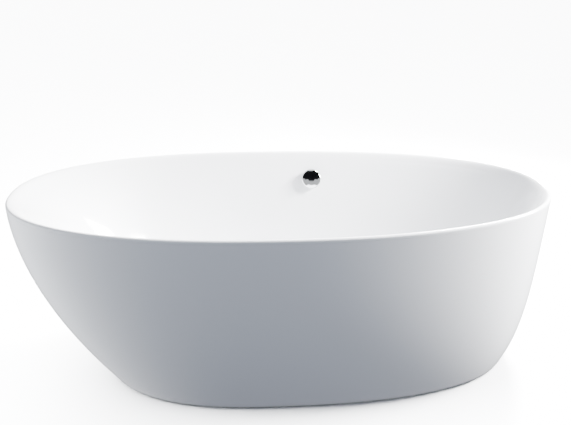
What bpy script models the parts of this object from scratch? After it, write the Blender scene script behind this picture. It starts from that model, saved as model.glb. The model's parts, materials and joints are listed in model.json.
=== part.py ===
"""Freestanding bathtub: a white double-walled acrylic tub on a steel foot frame.

Frame: metres, +Z up, origin on the floor under the middle of the rim.
-X is the long sloping backrest end, +X the steeper foot end, -Y the front,
+Y the side with the overflow.
"""

import math

import bmesh
import bpy
from mathutils import Matrix, Vector

# ---------------------------------------------------------------- driving sizes

LENGTH = 1.700
WIDTH = 0.850
HEIGHT = 0.580
TUB = "freestanding_bathtub"

GAP = 0.0003            # air left between two pieces that touch
ROUND = 40              # points around each tub section

# Outer shell: a superellipse that widens from the base to the rim.
SHELL_WALL = 0.004
WIDEST_X = -0.050       # where along the length the tub is widest
BASE_GAP = 0.009        # shadow gap under the skirt
BASE_LEFT = 0.560
BASE_RIGHT = 0.739
BASE_HALF = 0.353
LEFT_POWER = 1.80
RIGHT_STRAIGHT = 0.50
RIGHT_POWER = 5.0
HALF_POWER = 3.0
BASE_SQUARENESS = 2.45
RIM_SQUARENESS = 2.30

# Basin: the visible inner surface.
BASIN_WALL = 0.005
FLOOR_Z = 0.160
FLOOR_LEFT = 0.420
FLOOR_RIGHT = 0.650
FLOOR_HALF = 0.240
FLOOR_SQUARENESS = 2.05
RIM_INSET = 0.022
WALL_TOP_Z = 0.572
FILLET_HIGH = 0.080
FILLET_WIDE = 0.075

# Rim: the basin wall rolls over a crest and down to a short lip.
ROLL_START_Z = 0.552
ROLL_RISE = 0.012
ROLL_PULL = 0.010
CREST_INSET = 0.0065
LIP_Z = 0.568
SEAM = 0.0008           # bond line between the lip and the skirt

# Waste and overflow.
DRAIN = Vector((0.125, 0.0, 0.0))
DRAIN_HOLE_R = 0.0265
DISH_Z = 0.1535
DISH_R = 0.0405
DISH_EDGE_R = 0.0455
DISH_EDGE_Z = 0.1565
OVERFLOW_X = 0.125
OVERFLOW_Z = 0.490
OVERFLOW_HOLE_R = 0.026
KNOB_R = 0.035
CHAMBER_R = 0.030
CHAMBER_BACK = -0.042   # from here to CABLE_PORT_Z: depths behind the basin wall
SPOUT_Z = -0.0265
CABLE_PORT_Z = -0.029
SPOUT_LONG = 0.058      # from the chamber's axis to the spout's end
CUP_R = 0.031
OUTLET_Z = 0.068
PIPE_R = 0.0155
PIPE_WALL = 0.002
TRAP_R = 0.020
TRAP_WALL = 0.002
TRAP_BEND = 0.031
TRAP_LOW_Z = 0.060
TRAP_TURN = 0.030
TRAP_END = (0.120, 0.100)   # Y and Z of the free end
INLET_Z = 0.098
INLET_END_Y = 0.060
CABLE_R = 0.003
CABLE_Z = 0.086
GLAND_LONG = 0.012
GLAND_R = 0.0065
PORT_R = 0.0035

# Support frame.
BOARD_TOP = 0.1512
BOARD_THICK = 0.015
BOARD_LEFT = -0.400
BOARD_RIGHT = 0.580
BOARD_HALF = 0.200
BOARD_CORNER = 0.120
BOARD_HOLE_R = 0.060    # clear of the waste
RAIL_Y = 0.150
RAIL_LEFT = -0.420
RAIL_RIGHT = 0.600
RAIL_SIDE = 0.020
CROSS_X = {"left": -0.330, "right": 0.500}
CROSS_HALF = 0.290
CROSS_SIDE = 0.025
TUBE_WALL = 0.0015
FOOT_Y = 0.225
ROD_R = 0.006
PAD_R = 0.030
ROD_TOP = 0.128
SCREW_X = (-0.150, 0.320)
SCREW_HOLE_R = 0.0030
BOLT_HOLE_R = 0.0035
ROD_BOTTOM = 0.0143     # in the pad's socket
ROD_NUT_FLATS = 0.019
LOCK_NUT_THICK = 0.008
WELD_NUT_THICK = 0.010
BOLT_NUT_FLATS = 0.010
BOLT_NUT_THICK = 0.005

RAIL_TOP = BOARD_TOP - BOARD_THICK - GAP
RAIL_Z = RAIL_TOP - RAIL_SIDE / 2
CROSS_TOP = RAIL_TOP - RAIL_SIDE - GAP
CROSS_Z = CROSS_TOP - CROSS_SIDE / 2
CROSS_BOTTOM = CROSS_TOP - CROSS_SIDE

# ------------------------------------------------------------------- collections

for old in list(bpy.data.objects):
    bpy.data.objects.remove(old, do_unlink=True)

PARTS = bpy.data.collections.new(TUB)
CUTTERS = bpy.data.collections.new("cutters")
bpy.context.scene.collection.children.link(PARTS)
bpy.context.scene.collection.children.link(CUTTERS)

# --------------------------------------------------------------------- materials


def material(name, colour, roughness, metallic=0.0):
    """A Principled material, or the one already made under that name."""
    made = bpy.data.materials.get(name)
    if made is None:
        made = bpy.data.materials.new(name)
        made.use_nodes = True
        shader = made.node_tree.nodes["Principled BSDF"]
        shader.inputs["Base Color"].default_value = (*colour, 1.0)
        shader.inputs["Roughness"].default_value = roughness
        shader.inputs["Metallic"].default_value = metallic
    return made


def acrylic():
    return material("white_acrylic", (0.93, 0.93, 0.94), 0.10)


def chrome():
    return material("chrome", (0.80, 0.80, 0.82), 0.05, 1.0)


def steel():
    return material("zinc_plated_steel", (0.62, 0.64, 0.66), 0.35, 1.0)


def rubber():
    return material("black_rubber", (0.03, 0.03, 0.03), 0.80)


def white_plastic():
    return material("white_plastic", (0.85, 0.85, 0.85), 0.40)


def grey_plastic():
    return material("grey_plastic", (0.35, 0.36, 0.38), 0.45)


def brass():
    return material("brass", (0.75, 0.58, 0.28), 0.30, 1.0)


def board_wood():
    return material("resin_coated_board", (0.62, 0.52, 0.38), 0.75)


# ----------------------------------------------------------------- making shapes


def add(name, mesh, look, collection=PARTS):
    """Link a mesh or curve as a named object with its material."""
    made = bpy.data.objects.new(name, mesh)
    mesh.materials.append(look)
    collection.objects.link(made)
    return made


def smooth(mesh, sharp_degrees=40):
    mesh.shade_smooth()
    mesh.set_sharp_from_angle(angle=math.radians(sharp_degrees))


def from_bmesh(name, builder, look, collection=PARTS):
    mesh = bpy.data.meshes.new(name)
    builder.to_mesh(mesh)
    builder.free()
    smooth(mesh)
    return add(name, mesh, look, collection)


def loft(name, rings, look):
    """An open surface through closed rings that have the same number of points."""
    count = len(rings[0])
    points = [point for ring in rings for point in ring]
    faces = []
    for level in range(len(rings) - 1):
        low = level * count
        for i in range(count):
            j = (i + 1) % count
            faces.append((low + i, low + j, low + count + j, low + count + i))
    mesh = bpy.data.meshes.new(name)
    mesh.from_pydata(points, [], faces)
    mesh.update()
    smooth(mesh)
    return add(name, mesh, look)


def thicken(piece, wall):
    """Give an open surface its wall, behind the side its faces point to."""
    modifier = piece.modifiers.new("wall", "SOLIDIFY")
    modifier.thickness = wall
    modifier.offset = -1.0
    modifier.use_even_offset = True
    return piece


def box(name, size, centre, look, collection=PARTS):
    builder = bmesh.new()
    bmesh.ops.create_cube(builder, size=1.0)
    bmesh.ops.scale(builder, vec=Vector(size), verts=builder.verts)
    made = from_bmesh(name, builder, look, collection)
    made.location = centre
    return made


def rod(name, radius, length, sides, look, collection=PARTS):
    """A solid cylinder on its own Z, centred on its origin."""
    builder = bmesh.new()
    bmesh.ops.create_cone(builder, cap_ends=True, segments=sides,
                          radius1=radius, radius2=radius, depth=length)
    return from_bmesh(name, builder, look, collection)


def turned(name, profile, steps, look, ring=False):
    """A body turned about its own Z. The profile is (radius, height) points that
    run down the outer side; a ring's profile closes on itself."""
    count = len(profile)
    edges = [(i, i + 1) for i in range(count - 1)]
    if ring:
        edges.append((count - 1, 0))
    mesh = bpy.data.meshes.new(name)
    mesh.from_pydata([(radius, 0.0, height) for radius, height in profile], edges, [])
    mesh.update()
    made = add(name, mesh, look)
    spin = made.modifiers.new("turn", "SCREW")
    spin.steps = steps
    spin.render_steps = steps
    spin.use_merge_vertices = True
    spin.merge_threshold = 0.00002
    spin.use_smooth_shade = True
    return made


def cut(piece, cutter, operation="DIFFERENCE"):
    """Cut, or join, with another object that goes to the cutters."""
    for home in list(cutter.users_collection):
        home.objects.unlink(cutter)
    CUTTERS.objects.link(cutter)
    cutter.hide_render = True
    cutter.display_type = "WIRE"
    modifier = piece.modifiers.new(cutter.name, "BOOLEAN")
    modifier.operation = operation
    modifier.object = cutter
    modifier.solver = "EXACT"
    return piece


def drill(piece, name, radius, start, end, sides=8):
    """A round hole from start to end, in the piece's own parent frame."""
    start = Vector(start)
    end = Vector(end)
    cutter = rod(name, radius, (end - start).length, sides, grey_plastic())
    cutter.location = (start + end) / 2
    cutter.rotation_euler = (end - start).to_track_quat("Z", "Y").to_euler()
    cutter.parent = piece.parent
    return cut(piece, cutter)


def join_rod(piece, name, radius, start, end, sides=12):
    """Join a round bar that runs from start to end."""
    start = Vector(start)
    end = Vector(end)
    bar = rod(name, radius, (end - start).length, sides, grey_plastic())
    bar.location = (start + end) / 2
    bar.rotation_euler = (end - start).to_track_quat("Z", "Y").to_euler()
    bar.parent = piece.parent
    return cut(piece, bar, "UNION")


def flat_outline(name, outlines, thickness, look):
    """A flat plate from closed outlines; an outline inside another is a hole."""
    curve = bpy.data.curves.new(name, "CURVE")
    curve.dimensions = "2D"
    curve.fill_mode = "BOTH"
    curve.extrude = thickness / 2
    for outline in outlines:
        spline = curve.splines.new("POLY")
        spline.points.add(len(outline) - 1)
        for point, (x, y) in zip(spline.points, outline):
            point.co = (x, y, 0.0, 1.0)
        spline.use_cyclic_u = True
    return add(name, curve, look)


def as_mesh(source):
    """Turn a curve object into a welded mesh object of the same name and place."""
    name = source.name
    parent = source.parent
    look = source.data.materials[0]
    bpy.context.view_layer.update()
    evaluated = source.evaluated_get(bpy.context.evaluated_depsgraph_get())
    mesh = bpy.data.meshes.new_from_object(evaluated)
    place = source.matrix_local.copy()
    builder = bmesh.new()
    builder.from_mesh(mesh)
    bmesh.ops.remove_doubles(builder, verts=builder.verts, dist=0.00001)
    builder.to_mesh(mesh)
    builder.free()
    bpy.data.objects.remove(source, do_unlink=True)
    mesh.materials.clear()
    made = add(name, mesh, look)
    made.parent = parent
    made.matrix_local = place
    return made


def circle(radius, count, centre=(0.0, 0.0)):
    return [(centre[0] + radius * math.cos(2 * math.pi * i / count),
             centre[1] + radius * math.sin(2 * math.pi * i / count))
            for i in range(count)]


def smooth_path(route, spacing):
    """Points a spacing apart, read from a smooth curve through the route's points."""
    route = [Vector(point) for point in route]
    ends = [2 * route[0] - route[1]] + route + [2 * route[-1] - route[-2]]
    path = []
    for a, b, c, d in zip(ends, ends[1:], ends[2:], ends[3:]):
        pieces = max(1, round((c - b).length / spacing))
        for i in range(pieces):
            t = i / pieces
            path.append(0.5 * (2 * b + (c - a) * t + (2 * a - 5 * b + 4 * c - d) * t * t
                               + (3 * b - a - 3 * c + d) * t ** 3))
    path.append(route[-1])
    return path


def arc(centre, start, end, degrees, steps):
    """Points on an ellipse's arc that runs from centre + start towards centre + end."""
    points = []
    for i in range(steps + 1):
        angle = math.radians(degrees) * i / steps
        points.append(centre + start * math.cos(angle) + end * math.sin(angle))
    return points


def tube(name, path, radius, look, caps=True):
    """A round tube along a path, closed at both ends unless caps is off."""
    curve = bpy.data.curves.new(name, "CURVE")
    curve.dimensions = "3D"
    curve.bevel_depth = radius
    curve.bevel_resolution = 2
    curve.use_fill_caps = caps
    spline = curve.splines.new("POLY")
    spline.points.add(len(path) - 1)
    for point, place in zip(spline.points, path):
        point.co = (*place, 1.0)
    return add(name, curve, look)


# ------------------------------------------------------------------ tub sections


def section(left, right, half, squareness, z):
    """A closed superellipse, longer on one side of the widest point."""
    ring = []
    for i in range(ROUND):
        angle = 2 * math.pi * i / ROUND
        c = math.cos(angle)
        s = math.sin(angle)
        across = math.copysign(abs(c) ** (2 / squareness), c)
        along = math.copysign(abs(s) ** (2 / squareness), s)
        reach = right - WIDEST_X if c > 0 else left + WIDEST_X
        ring.append(Vector((WIDEST_X + reach * across, half * along, z)))
    return ring


def swell(t, straight, power):
    """From 0 at the base to 1 at the rim, quick at first and then upright."""
    return straight * t + (1 - straight) * (1 - (1 - t) ** power)


def outer_section(z):
    t = z / HEIGHT
    left = BASE_LEFT + (LENGTH / 2 - BASE_LEFT) * swell(t, 0.0, LEFT_POWER)
    right = BASE_RIGHT + (LENGTH / 2 - BASE_RIGHT) * swell(t, RIGHT_STRAIGHT, RIGHT_POWER)
    half = BASE_HALF + (WIDTH / 2 - BASE_HALF) * swell(t, 0.0, HALF_POWER)
    squareness = BASE_SQUARENESS + (RIM_SQUARENESS - BASE_SQUARENESS) * t
    return section(left, right, half, squareness, z)


def basin_reach(w):
    """The basin wall's left, right and half reach at a share w of its height."""
    rim_reach = LENGTH / 2 - RIM_INSET
    rim_half = WIDTH / 2 - RIM_INSET
    left = FLOOR_LEFT + (rim_reach - FLOOR_LEFT) * (0.70 * w + 0.30 * w ** 3.4)
    right = FLOOR_RIGHT + (rim_reach - FLOOR_RIGHT) * w
    half = FLOOR_HALF + (rim_half - FLOOR_HALF) * (0.85 * w + 0.15 * w ** 4.3)
    return Vector((left, right, half))


def basin_share(z):
    return (z - FLOOR_Z) / (WALL_TOP_Z - FLOOR_Z)


def basin_squareness(w):
    return FLOOR_SQUARENESS + (RIM_SQUARENESS - FLOOR_SQUARENESS) * min(w, 1.0)


def basin_section(z, inset=0.0):
    w = basin_share(z)
    left, right, half = basin_reach(w) - Vector((inset, inset, inset))
    return section(left, right, half, basin_squareness(w), z)


def rim_sections():
    """The roll from the wall to the crest, then round to the lip."""
    start = basin_reach(basin_share(ROLL_START_Z))
    slope = (start - basin_reach(basin_share(ROLL_START_Z - 0.001))) / 0.001
    rim = Vector((LENGTH / 2, LENGTH / 2, WIDTH / 2))
    crest = rim - Vector((CREST_INSET,) * 3)
    handle = start + slope * ROLL_RISE
    pull = crest - Vector((ROLL_PULL,) * 3)
    rings = []
    for step in range(1, 5):
        t = step / 4
        a, b, c, d = (1 - t) ** 3, 3 * t * (1 - t) ** 2, 3 * t * t * (1 - t), t ** 3
        reach = start * a + handle * b + pull * c + crest * d
        z = ROLL_START_Z * a + (ROLL_START_Z + ROLL_RISE) * b + HEIGHT * (c + d)
        rings.append(section(*reach, RIM_SQUARENESS, z))
    for degrees in (35, 65, 90):
        angle = math.radians(degrees)
        reach = rim - Vector((CREST_INSET * (1 - math.sin(angle)),) * 3)
        z = HEIGHT - CREST_INSET * (1 - math.cos(angle))
        rings.append(section(*reach, RIM_SQUARENESS, z))
    rings.append(section(*rim, RIM_SQUARENESS, LIP_Z))
    return rings


def drain_ring(radius, z):
    return [Vector((DRAIN.x + x, y, z)) for x, y in circle(radius, ROUND)]


def basin_rings():
    """From the lip over the rim, down the wall and over the floor to the drain hole."""
    rings = [drain_ring(DRAIN_HOLE_R, DISH_Z), drain_ring(DISH_R, DISH_Z)]
    dish = drain_ring(DISH_EDGE_R, DISH_EDGE_Z)
    edge = basin_section(FLOOR_Z, FILLET_WIDE)
    for share in (0.0, 0.45, 1.0):
        rings.append([a.lerp(b, share) for a, b in zip(dish, edge)])
    for degrees in (25, 45, 65, 90):
        angle = math.radians(degrees)
        z = FLOOR_Z + FILLET_HIGH * (1 - math.cos(angle))
        rings.append(basin_section(z, FILLET_WIDE * (1 - math.sin(angle))))
    for z in (0.310, 0.385, 0.455, 0.510, ROLL_START_Z):
        rings.append(basin_section(z))
    rings += rim_sections()
    return rings[::-1]


def wall_half_at(x, z):
    """Half width of the basin wall at a place along the tub and a height."""
    w = basin_share(z)
    left, right, half = basin_reach(w)
    reach = right - WIDEST_X if x > WIDEST_X else left + WIDEST_X
    across = abs(x - WIDEST_X) / reach
    n = basin_squareness(w)
    return half * (1 - across ** n) ** (1 / n)


def overflow_frame():
    """Place on the back wall: local +Z points into the basin, +Y up the wall."""
    step = 0.002
    y = wall_half_at(OVERFLOW_X, OVERFLOW_Z)
    rise = (wall_half_at(OVERFLOW_X, OVERFLOW_Z + step) - y) / step
    along = (wall_half_at(OVERFLOW_X + step, OVERFLOW_Z) - y) / step
    inwards = Vector((along, -1.0, rise)).normalized()
    right = Vector((0, 0, 1)).cross(inwards).normalized()
    up = inwards.cross(right)
    place = Matrix((right, up, inwards)).transposed().to_4x4()
    place.translation = Vector((OVERFLOW_X, y, OVERFLOW_Z))
    return place


# ------------------------------------------------------------------------ pieces


def make_empty(name, place):
    made = bpy.data.objects.new(name, None)
    PARTS.objects.link(made)
    made.matrix_world = place
    return made


def make_shells(overflow):
    """The basin with its rim, and the skirt that hangs from under the lip."""
    basin = thicken(loft("inner_shell", basin_rings(), acrylic()), BASIN_WALL)
    hole = rod("overflow_hole", OVERFLOW_HOLE_R, 0.060, 32, acrylic())
    hole.parent = overflow
    cut(basin, hole)
    heights = (BASE_GAP, 0.035, 0.070, 0.115, 0.170, 0.235, 0.310, 0.400, 0.490,
               LIP_Z - SEAM)
    skirt = loft("outer_shell", [outer_section(z) for z in heights], acrylic())
    thicken(skirt, SHELL_WALL)


def make_board():
    """Reinforcing board under the basin floor, with a clear hole for the waste."""
    low_x = BOARD_LEFT + BOARD_CORNER
    high_x = BOARD_RIGHT - BOARD_CORNER
    side_y = BOARD_HALF - BOARD_CORNER
    outline = []
    for turn, x, y in ((0, high_x, side_y), (1, low_x, side_y), (2, low_x, -side_y),
                       (3, high_x, -side_y)):
        for step in range(5):
            angle = math.radians(90 * turn + 22.5 * step)
            outline.append((x + BOARD_CORNER * math.cos(angle),
                            y + BOARD_CORNER * math.sin(angle)))
    hole = circle(BOARD_HOLE_R, 24, (DRAIN.x, DRAIN.y))
    board = flat_outline("base_board", [outline, hole], BOARD_THICK, board_wood())
    board.location = (0, 0, BOARD_TOP - BOARD_THICK / 2)
    board = as_mesh(board)
    for number, (x, y) in enumerate(screw_places(), 1):
        drill(board, f"board_hole_{number}", SCREW_HOLE_R, (x, y, RAIL_TOP - 0.004),
              (x, y, RAIL_TOP + 0.0125))


def screw_places():
    return [(x, y) for x in SCREW_X for y in (-RAIL_Y, RAIL_Y)]


def crossings():
    return [(x, y) for x in CROSS_X.values() for y in (-RAIL_Y, RAIL_Y)]


def feet():
    return [(x, y) for x in CROSS_X.values() for y in (-FOOT_Y, FOOT_Y)]


def square_tube(name, side, start, end, look):
    """A square steel tube along X or Y between two points on its axis."""
    start = Vector(start)
    end = Vector(end)
    span = end - start
    along = Vector((1, 0, 0)) if abs(span.x) > abs(span.y) else Vector((0, 1, 0))
    across = Vector((1, 1, 1)) - along
    outside = across * side + along * span.length
    inside = across * (side - 2 * TUBE_WALL) + along * (span.length + 0.020)
    middle = (start + end) / 2
    made = box(name, outside, middle, look)
    return cut(made, box(name + "_bore", inside, middle, look))


def make_frame():
    """Two rails under the board, two cross members under the rails."""
    for side, y in (("front", -RAIL_Y), ("back", RAIL_Y)):
        rail = square_tube(f"rail_{side}", RAIL_SIDE, (RAIL_LEFT, y, RAIL_Z),
                           (RAIL_RIGHT, y, RAIL_Z), steel())
        for end, x in CROSS_X.items():
            drill(rail, f"bolt_hole_{side}_{end}", BOLT_HOLE_R, (x, y, RAIL_Z - RAIL_SIDE),
                  (x, y, RAIL_Z))
        for number, x in enumerate(SCREW_X, 1):
            drill(rail, f"screw_hole_{side}_{number}", SCREW_HOLE_R,
                  (x, y, RAIL_Z - RAIL_SIDE), (x, y, RAIL_Z + RAIL_SIDE))
    for end, x in CROSS_X.items():
        cross = square_tube(f"cross_member_{end}", CROSS_SIDE, (x, -CROSS_HALF, CROSS_Z),
                            (x, CROSS_HALF, CROSS_Z), steel())
        low = CROSS_Z - CROSS_SIDE
        high = CROSS_Z + CROSS_SIDE
        for side, y in (("front", -1), ("back", 1)):
            drill(cross, f"rod_hole_{end}_{side}", ROD_R + 0.0005, (x, y * FOOT_Y, low),
                  (x, y * FOOT_Y, high), 12)
            drill(cross, f"cross_hole_{end}_{side}", BOLT_HOLE_R, (x, y * RAIL_Y, low),
                  (x, y * RAIL_Y, high))


def hexagon(across_flats):
    return circle(across_flats / 2 / math.cos(math.radians(30)), 6)


def nut(name, across_flats, hole, thickness, place):
    """A hexagon nut centred on its place; the hole is a radius that stays clear."""
    sides = 12
    bore = circle(hole / math.cos(math.pi / sides), sides)
    made = flat_outline(name, [hexagon(across_flats), bore], thickness, steel())
    made.location = place


def make_fasteners():
    """Screws that hold the board, and bolts where the tubes cross."""
    for number, (x, y) in enumerate(screw_places(), 1):
        bottom = RAIL_TOP - RAIL_SIDE - GAP
        profile = [(0, 0.0318), (0.0012, 0.0310), (0.0024, 0.0280), (0.0024, 0.0),
                   (0.0055, 0.0), (0.0045, -0.0030), (0, -0.0030)]
        screw = turned(f"board_screw_{number}", profile, 8, steel())
        screw.location = (x, y, bottom)
    for number, (x, y) in enumerate(crossings(), 1):
        profile = [(0, 0.0340), (0.0030, 0.0340), (0.0030, 0.0), (0.0065, 0.0),
                   (0.0065, -0.0045), (0, -0.0045)]
        bolt = turned(f"frame_bolt_{number}", profile, 12, steel())
        bolt.location = (x, y, CROSS_BOTTOM - GAP)
        nut(f"frame_nut_{number}", BOLT_NUT_FLATS, 0.0033, BOLT_NUT_THICK,
            (x, y, CROSS_TOP + TUBE_WALL + 2 * GAP + BOLT_NUT_THICK / 2))


def make_feet():
    """Four levelling feet: pad, threaded rod, lock nut and welded nut."""
    for number, (x, y) in enumerate(feet(), 1):
        pad_profile = [(0, 0.014), (0.0058, 0.014), (0.0058, 0.010), (0.0095, 0.010),
                       (0.0095, 0.020), (0.0120, 0.020), (0.0150, 0.009),
                       (PAD_R - 0.002, 0.006), (PAD_R, 0.004), (PAD_R, 0.0), (0, 0.0)]
        pad = turned(f"foot_pad_{number}", pad_profile, 16, rubber())
        pad.location = (x, y, 0)
        rod_profile = [(0, ROD_TOP), (ROD_R - 0.001, ROD_TOP), (ROD_R, ROD_TOP - 0.001),
                       (ROD_R, ROD_BOTTOM), (0, ROD_BOTTOM)]
        threaded = turned(f"foot_rod_{number}", rod_profile, 12, steel())
        threaded.location = (x, y, 0)
        nut(f"foot_lock_nut_{number}", ROD_NUT_FLATS, ROD_R + 0.0005, LOCK_NUT_THICK,
            (x, y, CROSS_BOTTOM - GAP - LOCK_NUT_THICK / 2))
        nut(f"foot_weld_nut_{number}", ROD_NUT_FLATS, ROD_R + 0.0005, WELD_NUT_THICK,
            (x, y, CROSS_TOP + GAP + WELD_NUT_THICK / 2))


def make_overflow(overflow):
    """Round knob, faceplate, gasket and the chamber behind the wall."""
    knob_profile = [(0, 0.0215), (0.020, 0.0213), (KNOB_R - 0.0035, 0.0205),
                    (KNOB_R - 0.001, 0.0190), (KNOB_R, 0.0165), (KNOB_R, 0.0075),
                    (KNOB_R - 0.002, 0.0075), (KNOB_R - 0.002, 0.0165),
                    (KNOB_R - 0.004, 0.0188), (0.0075, 0.0190), (0.0075, 0.0045),
                    (0, 0.0045)]
    knob = turned("overflow_knob", knob_profile, 28, chrome())
    spindle_profile = [(0, 0.0042), (0.005, 0.0042), (0.005, -0.0340), (0, -0.0340)]
    spindle = turned("knob_spindle", spindle_profile, 12, brass())
    cam = flat_outline("cable_cam", [cam_outline(), circle(0.0054, 12)], 0.006,
                       white_plastic())
    cam.location = (0, 0, -0.0290)
    face_profile = [(0.021, 0.0035), (0.030, 0.0035), (0.034, 0.0025), (0.034, 0.0010),
                    (0.0245, 0.0010), (0.0245, -0.0120), (0.021, -0.0120)]
    face = turned("overflow_faceplate", face_profile, 24, chrome(), ring=True)
    face.parent = overflow
    for number in range(3):
        angle = math.radians(90 + 120 * number)
        arm = box(f"faceplate_arm_{number}", (0.0165, 0.004, 0.004), (0, 0, 0), chrome())
        arm.parent = overflow
        arm.location = (0.0145 * math.cos(angle), 0.0145 * math.sin(angle), -0.005)
        arm.rotation_euler = (0, 0, angle)
        cut(face, arm, "UNION")
    hub_profile = [(0.0054, 0.0000), (0.0090, 0.0000), (0.0090, -0.0090),
                   (0.0054, -0.0090)]
    hub = turned("faceplate_hub", hub_profile, 16, chrome(), ring=True)
    hub.parent = overflow
    cut(face, hub, "UNION")
    gasket_profile = [(0.0265, -0.0062), (0.0360, -0.0062), (0.0360, -0.0082),
                      (0.0265, -0.0082)]
    gasket = turned("overflow_gasket", gasket_profile, 20, rubber(), ring=True)
    for piece in (knob, spindle, cam, gasket):
        piece.parent = overflow
    make_chamber(overflow)


def cam_outline():
    """A disc with one lobe, where the cable's wire hooks on."""
    points = []
    for step in range(20):
        angle = 2 * math.pi * step / 20
        lobe = 0.008 * max(0.0, math.cos(angle)) ** 3
        radius = 0.011 + lobe
        points.append((radius * math.cos(angle), radius * math.sin(angle)))
    return points


def make_chamber(overflow):
    """Closed cup behind the wall with a spout down the back of the basin."""
    inside = CHAMBER_BACK + 0.003
    profile = [(0.026, -0.0085), (0.0365, -0.0085), (0.0365, -0.0125),
               (CHAMBER_R, -0.0125), (CHAMBER_R, CHAMBER_BACK), (0, CHAMBER_BACK),
               (0, inside), (0.0255, inside), (0.0255, -0.0100)]
    chamber = turned("overflow_body", profile, 20, white_plastic(), ring=True)
    chamber.parent = overflow
    join_rod(chamber, "spout", PIPE_R, (0, -0.0265, SPOUT_Z), (0, -SPOUT_LONG, SPOUT_Z))
    drill(chamber, "spout_bore", PIPE_R - 0.003, (0, -0.010, SPOUT_Z),
          (0, -0.070, SPOUT_Z), 12)
    drill(chamber, "cable_port_top", PORT_R, (-0.015, 0, CABLE_PORT_Z),
          (-0.045, 0, CABLE_PORT_Z))
    gland = make_gland("cable_gland_top", (-CHAMBER_R - GAP, 0, CABLE_PORT_Z))
    gland.parent = overflow


def make_gland(name, place):
    """A nut that holds the cable's sleeve; it reaches from its place towards -X."""
    profile = [(PORT_R - 0.0001, 0.0), (GLAND_R, 0.0), (GLAND_R, -GLAND_LONG),
               (PORT_R - 0.0001, -GLAND_LONG)]
    gland = turned(name, profile, 12, brass(), ring=True)
    gland.location = place
    gland.rotation_euler = (0, math.radians(90), 0)
    return gland


def make_waste():
    """Pop-up waste in the floor: flange, seals, body, plug and its guide."""
    pieces = [
        turned("drain_gasket_upper", [(0.0270, 0.1548), (0.0360, 0.1548),
                                      (0.0360, 0.1538), (0.0270, 0.1538)],
               20, rubber(), ring=True),
        turned("drain_flange", [(0.0225, 0.1576), (0.0345, 0.1576), (0.0370, 0.1566),
                                (0.0370, 0.1551), (0.0248, 0.1551), (0.0248, 0.1180),
                                (0.0225, 0.1180)], 20, chrome(), ring=True),
        turned("drain_gasket_lower", [(0.0270, 0.1482), (0.0390, 0.1482),
                                      (0.0390, 0.1452), (0.0270, 0.1452)],
               20, rubber(), ring=True),
        turned("plug_seal", [(0.0200, 0.1597), (0.0275, 0.1597), (0.0285, 0.1588),
                             (0.0275, 0.1579), (0.0200, 0.1579)],
               20, rubber(), ring=True),
        turned("drain_plug", [(0, 0.1652), (0.0150, 0.1648), (0.0270, 0.1632),
                              (0.0310, 0.1612), (0.0310, 0.1600), (0.0040, 0.1600),
                              (0.0040, 0.1080), (0, 0.1080)], 24, chrome()),
        turned("lift_pin", [(0, 0.1077), (0.0030, 0.1077), (0.0030, 0.0920),
                            (0, 0.0920)], 10, brass()),
    ]
    guide = turned("stem_guide", [(0.0200, 0.1300), (0.0222, 0.1300), (0.0222, 0.1220),
                                  (0.0200, 0.1220)], 24, white_plastic(), ring=True)
    hub = turned("guide_hub", [(0.0045, 0.1300), (0.0080, 0.1300), (0.0080, 0.1200),
                               (0.0045, 0.1200)], 16, white_plastic(), ring=True)
    hub.location = DRAIN
    for number in range(3):
        angle = math.radians(90 + 120 * number)
        arm = box(f"guide_arm_{number}", (0.0140, 0.0030, 0.0060),
                  (DRAIN.x + 0.0140 * math.cos(angle), 0.0140 * math.sin(angle), 0.1260),
                  white_plastic())
        arm.rotation_euler = (0, 0, angle)
        cut(guide, arm, "UNION")
    cut(guide, hub, "UNION")
    body = make_waste_body()
    end_guide = turned("cable_end_guide", [(0.0034, 0.1010), (0.0060, 0.1010),
                                           (0.0060, 0.0800), (0, 0.0800),
                                           (0, 0.0850), (0.0034, 0.0850)],
                       12, white_plastic(), ring=True)
    for piece in pieces + [guide, body, end_guide]:
        piece.location = DRAIN
    join_rod(end_guide, "guide_arm", 0.0045, (DRAIN.x - 0.0245, 0, CABLE_Z),
             (DRAIN.x - 0.0045, 0, CABLE_Z), 10)
    make_gland("cable_gland_bottom", (DRAIN.x - CUP_R - GAP, 0, CABLE_Z))


def make_waste_body():
    """Cup under the floor with an outlet below and an inlet from the overflow."""
    profile = [(0.0258, 0.1445), (0.0400, 0.1445), (0.0400, 0.1405), (CUP_R, 0.1405),
               (CUP_R, 0.0760), (0.0220, 0.0760), (0.0220, OUTLET_Z), (0.0175, OUTLET_Z),
               (0.0175, 0.0790), (0.0258, 0.0790)]
    body = turned("waste_body", profile, 20, white_plastic(), ring=True)
    join_rod(body, "inlet", PIPE_R + 0.003, (DRAIN.x, 0.0285, INLET_Z),
             (DRAIN.x, INLET_END_Y, INLET_Z))
    drill(body, "inlet_bore", PIPE_R - 0.001, (DRAIN.x, 0.010, INLET_Z),
          (DRAIN.x, 0.070, INLET_Z), 12)
    drill(body, "cable_port_bottom", PORT_R, (DRAIN.x - 0.020, 0, CABLE_Z),
          (DRAIN.x - 0.045, 0, CABLE_Z))
    return body


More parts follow.
